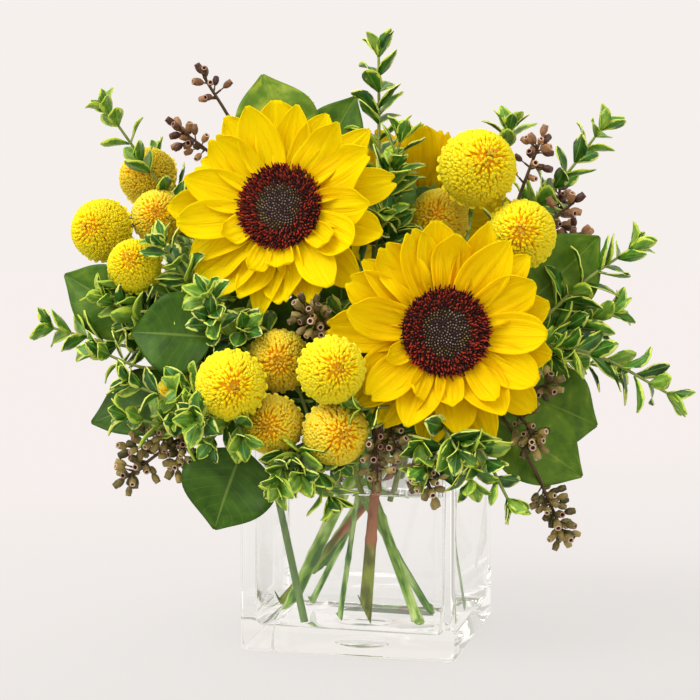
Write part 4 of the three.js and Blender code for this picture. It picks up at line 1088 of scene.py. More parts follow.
def lay_disc(name, flower):
    centre, side, up, face = head_frame(*flower["head"])
    own = seeded(flower["seed"] + 300)
    bunch = Bunch()
    base = centre + face * CUSHION_RISE
    # The cushion is painted nearly black: a painted shade for the gaps between the florets.
    bunch.add(DISC_CUSHION, set_at(DISC_CUSHION.points, base, side, up, face), 0.2,
              DISC_SKINS.index(DISC_GAP_SHADE))
    for k in range(DISC_FLORETS):
        share = math.sqrt((k + 0.5) / DISC_FLORETS)
        radius = DISC_RADIUS * share
        out = outward(side, up, k * GOLDEN_ANGLE)
        if radius > RING_FROM + spread(own, 0.9):
            skin, aside, twist, wide = DISC_RING, 0.4, 0.3, 0.95
        else:
            fringe = radius > FRINGE_FROM and own() < FRINGE_SHARE
            skin, aside, twist, wide = DISC_FRINGE if fringe else DISC_MIDDLE, 0.1, 0.05, 0.86
        dome = CUSHION_HEIGHT * math.sqrt(1 - (radius / DOME_RADIUS) ** 2)
        lean = 0.6 * share + spread(own, aside)
        way = unit(face + out * lean + np.cross(face, out) * spread(own, twist))
        size = 1.35 + spread(own, 0.35) if skin is DISC_RING else 0.66 + 0.1 * share
        root = base + out * radius + face * (dome - 0.6)
        bunch.add(TUBE_FLORET, spun(TUBE_FLORET, root, way, wide, size), own(),
                  DISC_SKINS.index(skin))
    bunch.piece(f"seed_disc_{name[-1]}", DISC_SKINS, "seed_disc", f"{name}_disc")


for name, flower in SUNFLOWERS.items():
    lay_disc(name, flower)

# %% [markdown]
# ## Calyx and stem
# Behind the petals a sunflower has a green cup of pointed bracts in overlapping rows, on a stout
# stem with a slight swelling under the head. The cup is a flattened sphere, and each bract is a
# narrow blade.

# %% Model a bract and the calyx's cup
BRACT = blade_shape("bract", 0.010, 0.03, [0.001, 0, 0.001], [0.5, 0.8, 1.0, 0.85, 0.5, 0.06],
                    0.0006)
CUP = cushion_shape("calyx_cup", 21, 10)
# %% Lay the calyxes and the stems
CUP_BEHIND, SOLID_BRACTS = 7.4, 7
# Each further row has its count, its root's radius and height, and its length.
BRACT_ROWS = ((13, 9.0, -9, 20), (11, 5.4, -13, 18))


def lay_sunflower_stem(name, flower):
    node_name = f"{name}_stem"
    centre, side, up, face = head_frame(*flower["head"])
    draw, own = seeded(flower["seed"] + 50), seeded(flower["seed"] + 600)
    knee, neck = centre - face * 40 - (0, 0, 10), centre - face * 14
    line = centre_line([*flower["stem"], knee, neck], 5, 6)
    radius, share = flower["radius"], np.linspace(0, 1, len(line))
    radii = radius + 0.4 * share + 1.6 * share**8
    bunch = Bunch()
    lines = [with_nodes((line, radii), flower["nodes"])]
    stem_points = bunch.add_stems(f"{name}_path", lines, 0.4, roundness=3)
    cut_slanting(stem_points, line[0], radius, flower["seed"], 0.8)
    flat = np.clip(CUP.points, (-np.inf, -np.inf, -10), (np.inf, np.inf, 1))
    bunch.add(CUP, set_at(flat, centre - face * CUP_BEHIND, side, up, face), 0.3, 1)
    for k in range(SOLID_BRACTS):
        out = outward(side, up, 2 * math.pi * k / SOLID_BRACTS + spread(draw, 0.12))
        _, rolled, way = frame_along(out * 0.93 - face * 0.37, face)
        root = centre + out * 12 - face * CUP_BEHIND
        length = 30 + spread(draw, 3)
        lies = found_bend(node_name, f"bract {k}", root, way, rolled, length, -0.5)
        if lies is None:
            continue
        way, rolled, size = lies
        bunch.add(BRACT, laid(BRACT, root, way, rolled, length * size, 10 * size, -0.5), own(), 1)
    for row, (count, reach, low, long) in enumerate(BRACT_ROWS):
        for k in range(count):
            out = outward(side, up, 2 * math.pi * (k + 0.5 * row) / count + spread(own, 0.1))
            _, rolled, way = frame_along(out * 0.8 - face * (0.1 - 0.2 * row), face)
            root = centre + out * reach + face * low
            bunch.add(BRACT, laid(BRACT, root, way, rolled, long, 8.5, 0.5), own(), 1)
    bunch.piece(f"calyx_and_stem_{name[-1]}", [STEM_GREEN, CALYX_GREEN], "sunflower_stem",
                node_name)


for name, flower in SUNFLOWERS.items():
    lay_sunflower_stem(name, flower)
print("not found so far:", lost)

# %% [markdown]
# ## Button chrysanthemums
# A pom is a ball of hundreds of short quills, each a narrow funnel with a pale mouth and a root in
# painted shade. They follow the golden spiral over a flattened ball, lean outwards, and stand
# smaller and looser towards the eye, where the core, painted a deep yellow as shade, shows between
# them. Round the underside the last florets are open spoons, which give the head its scalloped
# edge.

# %% Model the pom's florets and core
SPOON = blade_shape("spoon_floret", 0.0036, 0.0075, [0.0006, 0, 0.0006], [0.5, 0.9, 1.05, 0.5],
                    0.0004, levels=0)
QUILL = cone_shape("quill_floret", 4, 0.5, 1, 1, -0.2)
POM_CORE = cushion_shape("pom_core", 0.86, 0.75)
# %% Lay the poms
POM_RADIUS, POM_FLATNESS = 18.5, 0.88
POM_QUILLS, POM_SPOONS = 1150, 22
POM_EYE_OFF, POM_UNEVEN = 0.3, 0.035
LOWEST_QUILL = math.cos(math.radians(122))
# Degrees from the head's eye: up to where the quills are closed, up to where they lean inwards,
# and from where they are full-grown.
CLOSED_TO, INWARD_TO, GROWN_FROM = 8, 6, 24
# The rows of spoons, by degrees from the head's face and share of its radius.
SPOON_ROWS = ((96, 0.92), (112, 0.86))


def lay_pom(name, at, size, turn, tilt, tone, seed):
    centre, side, up, face = head_frame(at, turn, tilt)
    own = seeded(seed)
    radius = POM_RADIUS * size
    bunch = Bunch()
    bunch.add(POM_CORE, set_at(POM_CORE.points * radius, centre, side, up, face), 0.1, 2)
    eye = unit(face + side * spread(own, POM_EYE_OFF) + up * spread(own, POM_EYE_OFF))
    for k in range(POM_QUILLS):
        height = 1 - (k + 0.5) / POM_QUILLS * (1 - LOWEST_QUILL)
        angle = k * GOLDEN_ANGLE
        out = outward(side, up, angle) * math.sqrt(1 - height**2)
        uneven = [spread(own, POM_UNEVEN) for _ in range(3)]
        way = unit(out + face * height + uneven)
        height = way @ face
        out = way - face * height
        from_eye = math.degrees(math.acos(min(1.0, way @ eye)))
        normal = unit(out + face * height / POM_FLATNESS)
        along = unit(way * (way @ eye) - eye + 1e-6 * side)
        place = out + face * height * POM_FLATNESS
        opened = min(1.0, from_eye / GROWN_FROM)
        lean = -0.35 + 1.25 * opened if from_eye > INWARD_TO else -0.2
        way = unit(normal + along * lean + np.cross(normal, along) * spread(own, 0.22)
                   + along * spread(own, 0.15))
        long = (2.4 + 2.8 * opened) * size * (1 + spread(own, 0.09))
        wide = (0.74 + 0.24 * opened) * size * (1 + spread(own, 0.16))
        deep = long * (way @ normal) + 0.5 * own() * (1.6 - opened)
        root = centre + place * (radius - deep)
        bunch.add(QUILL, spun(QUILL, root, way, wide, long, angle), own(),
                  int(from_eye < CLOSED_TO))
    for row, (from_face, reach) in enumerate(SPOON_ROWS):
        low = math.radians(from_face)
        for k in range(POM_SPOONS):
            angle = 2 * math.pi * (k + row / 2 + spread(own, 0.15)) / POM_SPOONS
            out = outward(side, up, angle)
            place = out * math.sin(low) + face * math.cos(low) * POM_FLATNESS
            _, rolled, way = frame_along(out * 0.75 - face * 0.65, out)
            root = centre + place * (radius * reach - 2.6 * size)
            bunch.add(SPOON, laid(SPOON, root, way, rolled, 6.2 * size, 4.2 * size, 0.9,
                                  spread(own, 0.2)), own())
    bunch.piece(f"button_{name}", [FLORETS[tone], FLORET_EYE, FLORET_CORE_SHADE], f"florets_{tone}",
                name)


for index, (name, pom) in enumerate(POMS.items()):
    lay_pom(name, *pom, 100 + index)

# %% [markdown]
# ## Pom sprays
# The poms grow on branched stems, each branch ending in a small green cup under its head.

# %% Lay the sprays
SPRAYS = {
    "spray_front": ("pom_front", 1.7, ((-17, -30, 16), (-6, -38, 97), (-8, -42, 128),
                                       (-26, -46, 146))),
    "spray_left": ("pom_left", 2.2, ((38, -16, 18), (-8, -11, 97), (-20, -5, 130), (-62, 8, 178),
                                     (-104, 8, 214))),
    "spray_right": ("pom_right", 1.9, ((-31, 24, 16), (8, 17, 97), (18, 16, 128), (34, 4, 180),
                                       (50, 0, 215))),
    "spray_back": ("pom_back", 1.9, ((0, 32, 84), (-1, 36, 128), (0, 48, 150))),
}
POM_CUP = cushion_shape("pom_cup", 6.5, 4)
SEAT = -0.76 * POM_RADIUS


def lay_spray(name, heads, radius, stem):
    bunch = Bunch()
    lines = [with_nodes(tapered(centre_line(stem, SPRAY_STEPS, 4), radius, radius * 0.8), (54, 78))]
    cups = []
    for index, pom in enumerate(pom for pom in POMS if pom.startswith(heads)):
        at, size, turn, tilt, _ = POMS[pom]
        centre, side, up, face = head_frame(at, turn, tilt)
        seat = centre + face * SEAT * size
        start = on_stem(stem, SPRAY_STEPS, 0.99 - 0.07 * index)[0]
        neck = seat - face * 5
        middle = start + (neck - start) * 0.55 - (0, 0, 3)
        points = pushed(name, [start, middle, neck], (1.2, 1.2), 4, TWIG_STEPS)
        line = np.vstack([centre_line(points, TWIG_STEPS, 6), seat])
        lines.append(tapered(line, 1.25, 1.15))
        cups.append(set_at(POM_CUP.points, seat + face * 2, side, up, face))
    stem_points = bunch.add_stems(f"{name}_path", lines)
    cut_slanting(stem_points, stem[0], radius, len(heads), 1.2)
    for cup in cups:
        bunch.add(POM_CUP, cup, 0.3)
    bunch.piece(f"{name}_stems", [SPRAY_GREEN], "spray_stem", name)


for name, spray in SPRAYS.items():
    lay_spray(name, *spray)
print("not found so far:", lost)

# %% [markdown]
# ## Salal
# Salal leaves are broad, leathery ovals with a pointed tip, a sunken midrib and side veins that
# run towards the edge. They fill the gaps between the flowers and hang over the vase's rim.

# %% The salal's stems and leaves
# Each stem has its radius, its first free point and its line. Each leaf has its base, its tip,
# the way it faces and its width. The inner leaves are this file's own.
SALAL = {
    "salal_left": (2.4, 4, ((-38, -38, 16), (-55, -27, 97), (-58, -24, 130), (-76, -34, 154)), (
        ((-90, -66, 184), (-137, -68, 188), (-0.1, -0.9, 0.2), 40),
        ((-73, -76, 122), (-90, -84, 78), (-0.25, -0.95, -0.1), 46),
        ((-104, -34, 150), (-166, -48, 146), (-0.1, -0.75, 0.6), 40),
    )),
    "salal_upper_left": (1.6, 1, ((-13, 17, 86), (-22, 16, 128), (-72, 12, 160), (-122, -8, 186)), (
        ((-128, -34, 190), (-176, -26, 233), (-0.2, -0.95, -0.1), 36),
    )),
    "salal_top": (1.6, 1, ((-6, 2, 86), (-10, 4, 128), (-34, 0, 200), (-46, -6, 262)), (
        ((-50, -18, 283), (-64, -16, 338), (0.1, -0.95, 0.2), 42),
        ((-36, -4, 276), (-10, -8, 325), (0.1, -0.9, 0.3), 32),
    )),
    "salal_right": (1.8, 1, ((24, -4, 86), (34, -4, 128), (58, -8, 146), (76, -14, 160)), (
        ((90, -22, 200), (136, -22, 241), (0.3, -0.9, 0.2), 40),
        ((88, -24, 148), (138, -16, 130), (0.2, -0.9, 0.35), 42),
        ((70, -46, 136), (124, -48, 103), (0.15, -0.95, 0.2), 40),
    )),
    "salal_back_left": (1.8, 1, ((-12, 40, 86), (-18, 46, 128), (-52, 74, 150), (-76, 92, 158)), (
        ((-84, 100, 150), (-120, 122, 110), (-0.3, 0.9, 0.3), 44),
        ((-92, 82, 184), (-146, 78, 212), (-0.4, 0.8, 0.4), 38),
    )),
    "salal_back_right": (1.8, 1, ((20, 44, 86), (26, 50, 128), (52, 74, 146), (78, 90, 156)), (
        ((84, 98, 142), (122, 114, 100), (0.3, 0.9, 0.3), 44),
        ((96, 84, 178), (148, 66, 200), (0.4, 0.8, 0.4), 38),
    )),
    "salal_back": (1.6, 1, ((6, 42, 86), (8, 54, 128), (8, 78, 150), (6, 92, 150)), (
        ((4, 100, 146), (2, 132, 96), (0.05, 0.9, 0.4), 46),
        ((-4, 84, 210), (-14, 122, 252), (-0.1, 0.8, -0.5), 38),
    )),
}
INNER_LEAVES = {
    "salal_left": (((-72, -40, 166), (-56, -46, 216), (0, -1, 0.1), 36),
                   ((-100, -50, 150), (-86, -52, 196), (-0.2, -1, 0.1), 36),
                   ((-66, -46, 124), (-46, -50, 168), (0, -1, 0), 34)),
    "salal_top": (((-44, -36, 164), (-26, -42, 214), (0.1, -1, 0.1), 38),
                  ((-20, -36, 172), (-16, -46, 228), (0.2, -1, 0.1), 38)),
    "salal_right": (((8, -40, 142), (-6, -46, 184), (0, -1, 0.1), 36),
                    ((70, -30, 170), (96, -34, 206), (0.3, -1, 0.1), 36)),
    "salal_upper_left": (((-30, -50, 132), (-48, -58, 168), (-0.1, -1, 0.1), 34),),
}
YOUNG_LEAF = ("salal_top", 0)
PALER_LEAVES = ("salal_right",)
print("salal stems", len(SALAL), "with inner leaves on", len(INNER_LEAVES))

# %% Model a salal leaf
SALAL_LIFTS = [0.0038, 0.0026, 0.0016, 0, 0.0016, 0.0026, 0.0038]
SALAL_WIDTHS = [0.1, 0.54, 0.84, 0.99, 1.05, 1.05, 1.0, 0.9, 0.74, 0.53, 0.28, 0.03]
SALAL_SHAPE = blade_shape("salal_leaf", 0.042, 0.06, SALAL_LIFTS, SALAL_WIDTHS, 0.0006)
# %% Lay the salal
SALAL_WIDER, SALAL_CURL, SALAL_WAVE = 1.15, -0.3, 0.09


def leaf_frame(base, tip, face):
    """A leaf's base, the way it runs, its upper face's way and its length."""
    base, tip = np.array(base, float), np.array(tip, float)
    _, up, ahead = frame_along(tip - base, face)
    return base, ahead, up, np.linalg.norm(tip - base)


def salal_leaf(root, ahead, up, length, width, own):
    return laid(SALAL_SHAPE, root, ahead, up, length, width * SALAL_WIDER, SALAL_CURL,
                spread(own, 0.15), SALAL_WAVE)


def lay_salal(name, radius, first_free, stem, leaves):
    own = seeded(700 + len(name) + leaves[0][3])
    used = pushed(name, stem, (radius, radius * 0.8), 5, STEM_STEPS, first_free)
    lines = [tapered(centre_line(used, STEM_STEPS, 5), radius, radius * 0.75)]
    bunch = Bunch()
    for index, (*places, width) in enumerate(leaves):
        base, ahead, up, length = leaf_frame(*places)
        lies = found_bend(name, f"leaf {index}", base, ahead, up, length, SALAL_CURL)
        if lies is None:
            continue
        ahead, up, size = lies
        root = on_stem(used, STEM_STEPS, 0.98 - 0.1 * index)[0]
        middle = (root + base) / 2 + (0, 0, 4)
        lines.append(tapered(smooth_line([root, middle, base], np.linspace(0, 1, 13)), 1.2, 0.9))
        points = salal_leaf(base, ahead, up, length * size, width * size, own)
        bunch.add(SALAL_SHAPE, points, 0.8 if (name, index) == YOUNG_LEAF else
                  0.5 + 0.3 * own() if name in PALER_LEAVES else 0.6 * own())
    # The inner leaves take only the darker tints: a painted shade for the heart of the bouquet.
    for *places, width in INNER_LEAVES.get(name, ()):
        bunch.add(SALAL_SHAPE, salal_leaf(*leaf_frame(*places), width, own), 0.3 * own())
    bunch.add_stems(f"{name}_path", lines, kind=1)
    bunch.piece(f"{name}_branch", [SALAL_LEAF, SALAL_STALK], "salal", name)


for name, spec in SALAL.items():
    lay_salal(name, *spec)
print("not found so far:", lost)

# %% [markdown]
# ## Seeded eucalyptus
# The seed capsules are small woody cups on short stalks: they widen to near the mouth, are drawn
# in at the rim, and have a dark hole in the middle. They sit in clusters at the twig's end. The
# solid model has a few of each cluster. The rest are set round them, each at a place that is
# drawn by chance, where there is most room.

# %% What a capsule or a leaf has to keep clear of
def heads_tree():
    """One search tree over every head, petal ring and the vase."""
    corners, faces = [], []
    for name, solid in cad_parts.items():
        if name.startswith("pom") or name.endswith(("petals", "disc")) or name == "vase":
            start = len(corners)
            corners += [Vector(place) for place in corners_of(name)]
            faces += [[start + k for k in face.vertices] for face in solid.data.polygons]
    print("heads and vase to keep clear of:", len(faces), "faces")
    return BVHTree.FromPolygons(corners, faces)


HEADS_TREE = heads_tree()


# %% Model a capsule
CAPSULE_LENGTH, CAPSULE_RADIUS, CAPSULE_STALK, CAPSULE_SPACING = 7, 3, 2.4, 2.4
CAPSULE_TALL = CAPSULE_STALK + CAPSULE_LENGTH
CAPSULE_MIDDLE, CAPSULE_SLIM = 6.5, 0.82
# The stalk, and the cup above it by (height, radius), as shares of the capsule's own.
STALK_HIGH, STALK_WIDE = 0.25, 0.2
CAPSULE_PROFILE = ((0.33, 0.55), (0.5, 0.9), (0.7, 1.0), (0.88, 0.84), (1.0, 0.8))


def capsule_shape():
    height, radius = STALK_HIGH, STALK_WIDE
    capsule = begin("seed_capsule", bpy.ops.mesh.primitive_cylinder_add, vertices=7,
                    radius=radius, depth=height)
    bpy.ops.transform.translate(value=(0, 0, height / 2))
    pick(capsule, "FACE", looks_up)
    for up_to, wide in CAPSULE_PROFILE:
        bpy.ops.mesh.extrude_region_move(TRANSFORM_OT_translate={"value": (0, 0, up_to - height)})
        bpy.ops.transform.resize(value=(wide / radius, wide / radius, 1))
        height, radius = up_to, wide
    bpy.ops.mesh.inset(thickness=0.24)
    bpy.ops.mesh.extrude_region_move(TRANSFORM_OT_translate={"value": (0, 0, -0.12)})
    bpy.ops.object.mode_set(mode="OBJECT")
    for face in capsule.data.polygons:
        from_axis = face.center.xy.length
        if face.center.z > 0.99 or from_axis < 0.3 and face.center.z > 0.8:
            # Index 2 is the hole, in painted shade, and index 1 is the pale rim.
            face.material_index = 2 if from_axis < 0.45 else 1
    return Shape(capsule)


SEED_CAPSULE = capsule_shape()

# %% The eucalyptus's stems and twigs
# Each stem has its radii, its first free point and its line. Each twig has its further points
# and how many capsules it has in the solid model.
EUCALYPTUS = {
    "eucalyptus_front": (4.1, 2, 4, ((-3, -40, 15.5), (3, -44, 97), (4, -50, 128), (2, -60, 142)), (
        (((-6, -64, 166), (-20, -72, 188), (-38, -90, 200)), 6),
        (((8, -74, 142), (12, -90, 124)), 3),
        (((14, -72, 138), (26, -88, 116), (32, -93, 100)), 3),
        (((0, -74, 138), (2, -90, 108)), 3),
    )),
    "eucalyptus_top_right": (2.6, 1.6, 3, ((-52, 7, 17), (14, -1, 97), (27, -6, 128),
                                           (62, 2, 180), (76, -6, 228)), (
        (((86, -18, 262), (99, -20, 298)), 6),
        (((98, -14, 244), (118, -16, 260)), 3),
    )),
    "eucalyptus_top_left": (2, 1.4, 1, ((-8, 24, 86), (-12, 26, 128), (-48, 26, 205),
                                        (-76, 14, 262)), (
        (((-92, 6, 286), (-116, -2, 306)), 6),
        (((-80, 4, 300), (-100, -5, 336)), 3),
    )),
    "eucalyptus_left": (2, 1.4, 1, ((-18, -4, 88), (-26, -8, 130), (-62, -38, 148),
                                    (-88, -56, 140)), (
        (((-104, -64, 132), (-112, -66, 112)), 6),
        (((-112, -60, 134), (-136, -62, 120)), 4),
        (((-110, -58, 126), (-140, -60, 104)), 3),
    )),
    "eucalyptus_right": (2, 1.4, 1, ((22, -26, 88), (30, -30, 128), (58, -44, 146),
                                     (74, -54, 146)), (
        (((86, -60, 152), (100, -64, 158)), 3),
        (((86, -64, 136), (90, -70, 124)), 4),
        (((84, -52, 124), (98, -50, 96), (110, -52, 70)), 6),
    )),
    "eucalyptus_back_left": (2, 1.4, 1, ((-6, 46, 86), (-10, 52, 128), (-34, 92, 146),
                                         (-44, 110, 146)), (
        (((-52, 122, 138), (-58, 128, 118)), 4),
        (((-34, 122, 154), (-24, 128, 166)), 3),
    )),
    "eucalyptus_back_right": (2, 1.4, 1, ((14, 26, 86), (22, 28, 128), (72, 40, 176),
                                          (104, 34, 226)), (
        (((114, 34, 250), (118, 36, 272)), 6),
        (((120, 46, 236), (134, 54, 242)), 3),
    )),
}
print("eucalyptus stems", len(EUCALYPTUS), "with",
      sum(len(spec[-1]) for spec in EUCALYPTUS.values()), "twigs")

# %% Lay the capsules
# How many more capsules there are for each of the solid model's own.
MORE_CAPSULES = {"eucalyptus_top_left": 2, "eucalyptus_top_right": 2}
USUALLY_MORE, TRIES = 5, 12
CAPSULE_ROOM, HEAD_ROOM = 4.6, 3.4


def cluster_way(index, forward):
    """The way each capsule of a cluster points: the first straight on, the rest round the twig."""
    side, up, ahead = frame_of(forward)
    opened = 0 if index == 0 else 0.75 + 0.1 * min(index, 6)
    return outward(ahead, outward(side, up, index * GOLDEN_ANGLE), opened)


def lay_capsules(bunch, node_name, points, count, own):
    """The solid's own capsules, and then more of them, on thin stalks, where there is most room."""
    reach = length_of(points)
    placed, stalks = [], []

    def add(root, ahead, size):
        placed.append(root + ahead * CAPSULE_MIDDLE * size)
        radius = CAPSULE_SLIM * CAPSULE_RADIUS * size
        bunch.add(SEED_CAPSULE, spun(SEED_CAPSULE, root, ahead, radius, CAPSULE_TALL * size,
                                     own() * 6), own())

    for k in range(count):
        root, way = on_stem(points, TWIG_STEPS, 1 - (CAPSULE_SPACING * k + 0.5) / reach)
        ahead = cluster_way(k, way)
        solid_rim = root + ahead * CAPSULE_TALL + frame_of(ahead)[0] * 0.6 * CAPSULE_RADIUS
        if TREES[node_name].find(solid_rim)[2] < SAME_PLACE:
            add(root, ahead, 1 + spread(own, 0.06))
    for k in range(MORE_CAPSULES.get(node_name, USUALLY_MORE) * count):
        back = 1.5 + (1.5 * CAPSULE_SPACING * count + 8) * own()
        root, way = on_stem(points, TWIG_STEPS, max(0.1, 1 - back / reach))
        side, up, ahead = frame_of(way)
        size = 0.78 + 0.2 * own()
        best, room = None, CAPSULE_ROOM
        for _ in range(TRIES):
            angle, opened, stalk = own() * 2 * math.pi, 0.4 + 1.1 * own(), 5 * own()
            tried = outward(ahead, outward(side, up, angle), opened)
            middle = root + tried * (stalk + CAPSULE_MIDDLE * size)
            free = min((np.linalg.norm(middle - other) for other in placed), default=99)
            if free > room and HEADS_TREE.find_nearest(Vector(middle))[3] > HEAD_ROOM:
                best, room = (tried, stalk), free
        if best is not None:
            tried, stalk = best
            if stalk > 0.5:
                stalks.append(tapered(np.array([root, root + tried * stalk]), 0.7, 0.6))
            add(root + tried * stalk, tried, size)
    return stalks


# %% Lay the eucalyptus
def lay_eucalyptus(name, radius, top_radius, first_free, stem, twigs):
    own = seeded(1300 + len(name) + int(stem[0][0]))
    radii = (radius, top_radius)
    used = pushed(name, stem, radii, 5, STEM_STEPS, first_free)
    lines = [with_nodes(tapered(centre_line(used, STEM_STEPS, 5), *radii), (66,), 0.12, 0)]
    bunch, stalks = Bunch(), []
    for index, (places, count) in enumerate(twigs):
        points, line = twig_of(name, used, index, places, (1.3, 1.1), (1.25, 0.85))
        lines.append(line)
        stalks += lay_capsules(bunch, name, points, count, own)
    stem_points = bunch.add_stems(f"{name}_path", lines, kind=3)
    cut_slanting(stem_points, stem[0], radius, 3.0, 2.2)
    bunch.add_stems(f"{name}_stalks", stalks, kind=3, roundness=0)
    skin = CAPSULE_RED if "top" in name or "back" in name else CAPSULE_OLIVE
    bunch.piece(f"{name}_branch", [skin, CAPSULE_RIM, CAPSULE_HOLE_SHADE, TWIG_BROWN], "eucalyptus",
                name)


for name, spec in EUCALYPTUS.items():
    lay_eucalyptus(name, *spec)
print("not found so far:", lost)

# %% [markdown]
# ## Variegated boxwood
# Boxwood's small oval leaves stand in pairs, each pair crosswise to the last. The solid model has
# some of the pairs of each sprig, and the rest are set between them, about a centimetre apart.
# Extra sprigs fill the gaps that the photo doesn't have, and short ones grow out of the heart of
# the bouquet. None of these leaves grows into a head or the glass.

# %% Where there is room for more leaves
# Each extra sprig leaves its stem at a share of its way, and has its tip.
EXTRA_SPRIGS = {
    "boxwood_left": ((0.7, (-90, -76, 196)), (0.6, (-72, -74, 189)), (0.9, (-146, -44, 212))),
    "boxwood_front_left": ((0.9, (-72, -98, 132)), (0.8, (-104, -82, 157)), (0.7, (-88, -92, 130))),
    "boxwood_front": ((0.9, (-40, -100, 112)), (0.5, (-19, -60, 196)), (0.6, (-66, -62, 194))),
    "boxwood_front_right": ((0.8, (-7, -94, 147)), (0.7, (26, -92, 128)), (0.97, (53, -96, 108))),
    "boxwood_top": ((0.9, (12, -26, 274)), (0.8, (7, -36, 252))),
}
INNER_SPRIGS = 4
BOUQUET_HEART = np.array((-8.0, 0.0, 150.0))
LIGHT_SEEKING = 0.7


def room_for(root, tip):
    """True if nothing of a head or of the vase lies between root and tip."""
    way = Vector(tip - root)
    return HEADS_TREE.ray_cast(Vector(root), way.normalized(), way.length)[0] is None


print("extra sprigs", sum(map(len, EXTRA_SPRIGS.values())))

# %% The boxwood's stems and sprigs
# Each stem has its seed and its line. Each sprig has its further points, the share of its way
# that is bare, and how many pairs it has in the solid model.
BOXWOOD = {
    "boxwood_upper_left": (401, ((-15, 10, 88), (-24, 8, 130), (-74, -8, 182), (-98, -28, 202)), (
        (((-118, -6, 240), (-158, -12, 318)), 0.5, 3),
        (((-104, -52, 214), (-118, -62, 236)), 0.5, 2),
        (((-84, -62, 196), (-92, -78, 208)), 0.5, 1),
    )),
    "boxwood_left": (402, ((-17, 3, 88), (-28, 0, 131), (-78, -22, 160), (-112, -32, 174)), (
        (((-150, -32, 178), (-188, -32, 188)), 0.3, 2),
        (((-132, -42, 192), (-154, -46, 206)), 0.5, 2),
        (((-128, -56, 166), (-154, -66, 176)), 0.5, 1),
    )),
    "boxwood_front_left": (403, ((-16, -42, 88), (-22, -50, 131), (-60, -66, 152),
                                 (-84, -72, 146)), (
        (((-106, -80, 148), (-134, -88, 160)), 0.3, 2),
        (((-92, -88, 140), (-96, -102, 142)), 0.5, 1),
        (((-104, -72, 134), (-138, -74, 140)), 0.5, 2),
    )),
    "boxwood_front": (404, ((-4, -44, 88), (-14, -52, 130), (-30, -66, 138), (-38, -76, 122)), (
        (((-42, -88, 118), (-50, -96, 106)), 0.5, 2),
        (((-32, -84, 112), (-24, -88, 97)), 0.5, 1),
    )),
    "boxwood_top": (405, ((2, -4, 88), (2, -6, 130), (0, -12, 200), (2, -24, 244)), (
        (((4, -14, 296), (4, -8, 350)), 0.3, 3),
        (((8, -38, 268), (16, -42, 296)), 0.5, 2),
    )),
    "boxwood_top_right": (406, ((18, 4, 88), (28, 6, 130), (66, 18, 200), (84, 12, 246)), (
        (((112, 4, 272), (138, 0, 306)), 0.3, 2),
        (((80, 4, 284), (82, 0, 304)), 0.5, 1),
    )),
    "boxwood_right": (407, ((28, -16, 88), (40, -18, 130), (74, -24, 170), (94, -26, 186)), (
        (((124, -22, 214), (153, -20, 234)), 0.3, 3),
        (((118, -26, 188), (140, -22, 196)), 0.5, 2),
        (((130, -46, 172), (171, -52, 150)), 0.3, 3),
    )),
    "boxwood_front_right": (408, ((12, -38, 88), (22, -46, 131), (34, -70, 142), (46, -84, 136)), (
        (((60, -92, 122), (74, -94, 96)), 0.3, 2),
        (((40, -92, 126), (28, -96, 114)), 0.5, 1),
        (((28, -74, 136), (6, -78, 146)), 0.5, 2),
    )),
    "boxwood_back_left": (409, ((-18, 30, 88), (-28, 34, 130), (-78, 60, 200), (-100, 66, 236)), (
        (((-118, 66, 262), (-136, 62, 292)), 0.3, 2),
        (((-128, 64, 232), (-158, 56, 234)), 0.3, 2),
    )),
    "boxwood_back": (410, ((-3, 18, 88), (-6, 20, 130), (-28, 34, 200), (-42, 38, 250)), (
        (((-44, 42, 284), (-46, 46, 318)), 0.3, 2),
        (((-44, 72, 240), (-48, 100, 240)), 0.5, 2),
    )),
    "boxwood_back_right": (411, ((28, 26, 88), (36, 32, 130), (80, 70, 150), (104, 84, 156)), (
        (((132, 84, 160), (160, 80, 154)), 0.3, 2),
        (((100, 106, 166), (98, 128, 160)), 0.3, 2),
    )),
}
print("boxwood stems", len(BOXWOOD), "with",
      sum(len(spec[-1]) for spec in BOXWOOD.values()), "sprigs")

# %% Model a boxwood leaf
BOX_LEAF_SHAPE = blade_shape("boxwood_leaf", 0.0095, 0.02, [0.0013, 0, 0.0013],
                             [0.14, 0.62, 0.95, 1.08, 0.98, 0.68, 0.16], 0.0005, levels=0)
BOX_LEAF_LENGTH, BOX_LEAF_WIDTH = 20, 9.5
# %% Lay leaves in pairs and rows
LEAF_LONGER, LEAF_WIDER = 1.15, 1.35
PAIR_SPACING, FROM_SOLID_PAIR = 9.5, 3.5
ROSETTE, ROSETTE_OPEN, ROSETTE_SIZE = 4, 0.6, 0.62
# These have longer and narrower leaves, in the photo.
LONG_LEAVED = {"boxwood_right": (1.16, 0.9), "boxwood_top": (1.14, 0.95),
               "boxwood_top_right": (1.1, 0.95)}


def lay_leaf(bunch, root, way, face, size, curl, own):
    longer, wider = bunch.leaf_size
    length = BOX_LEAF_LENGTH * size * longer * LEAF_LONGER
    width = BOX_LEAF_WIDTH * size * wider * LEAF_WIDER
    bunch.add(BOX_LEAF_SHAPE, laid(BOX_LEAF_SHAPE, root, way, face, length, width, curl,
                                   spread(own, 0.6), spread(own, 0.15), spread(own, 0.7)), own())


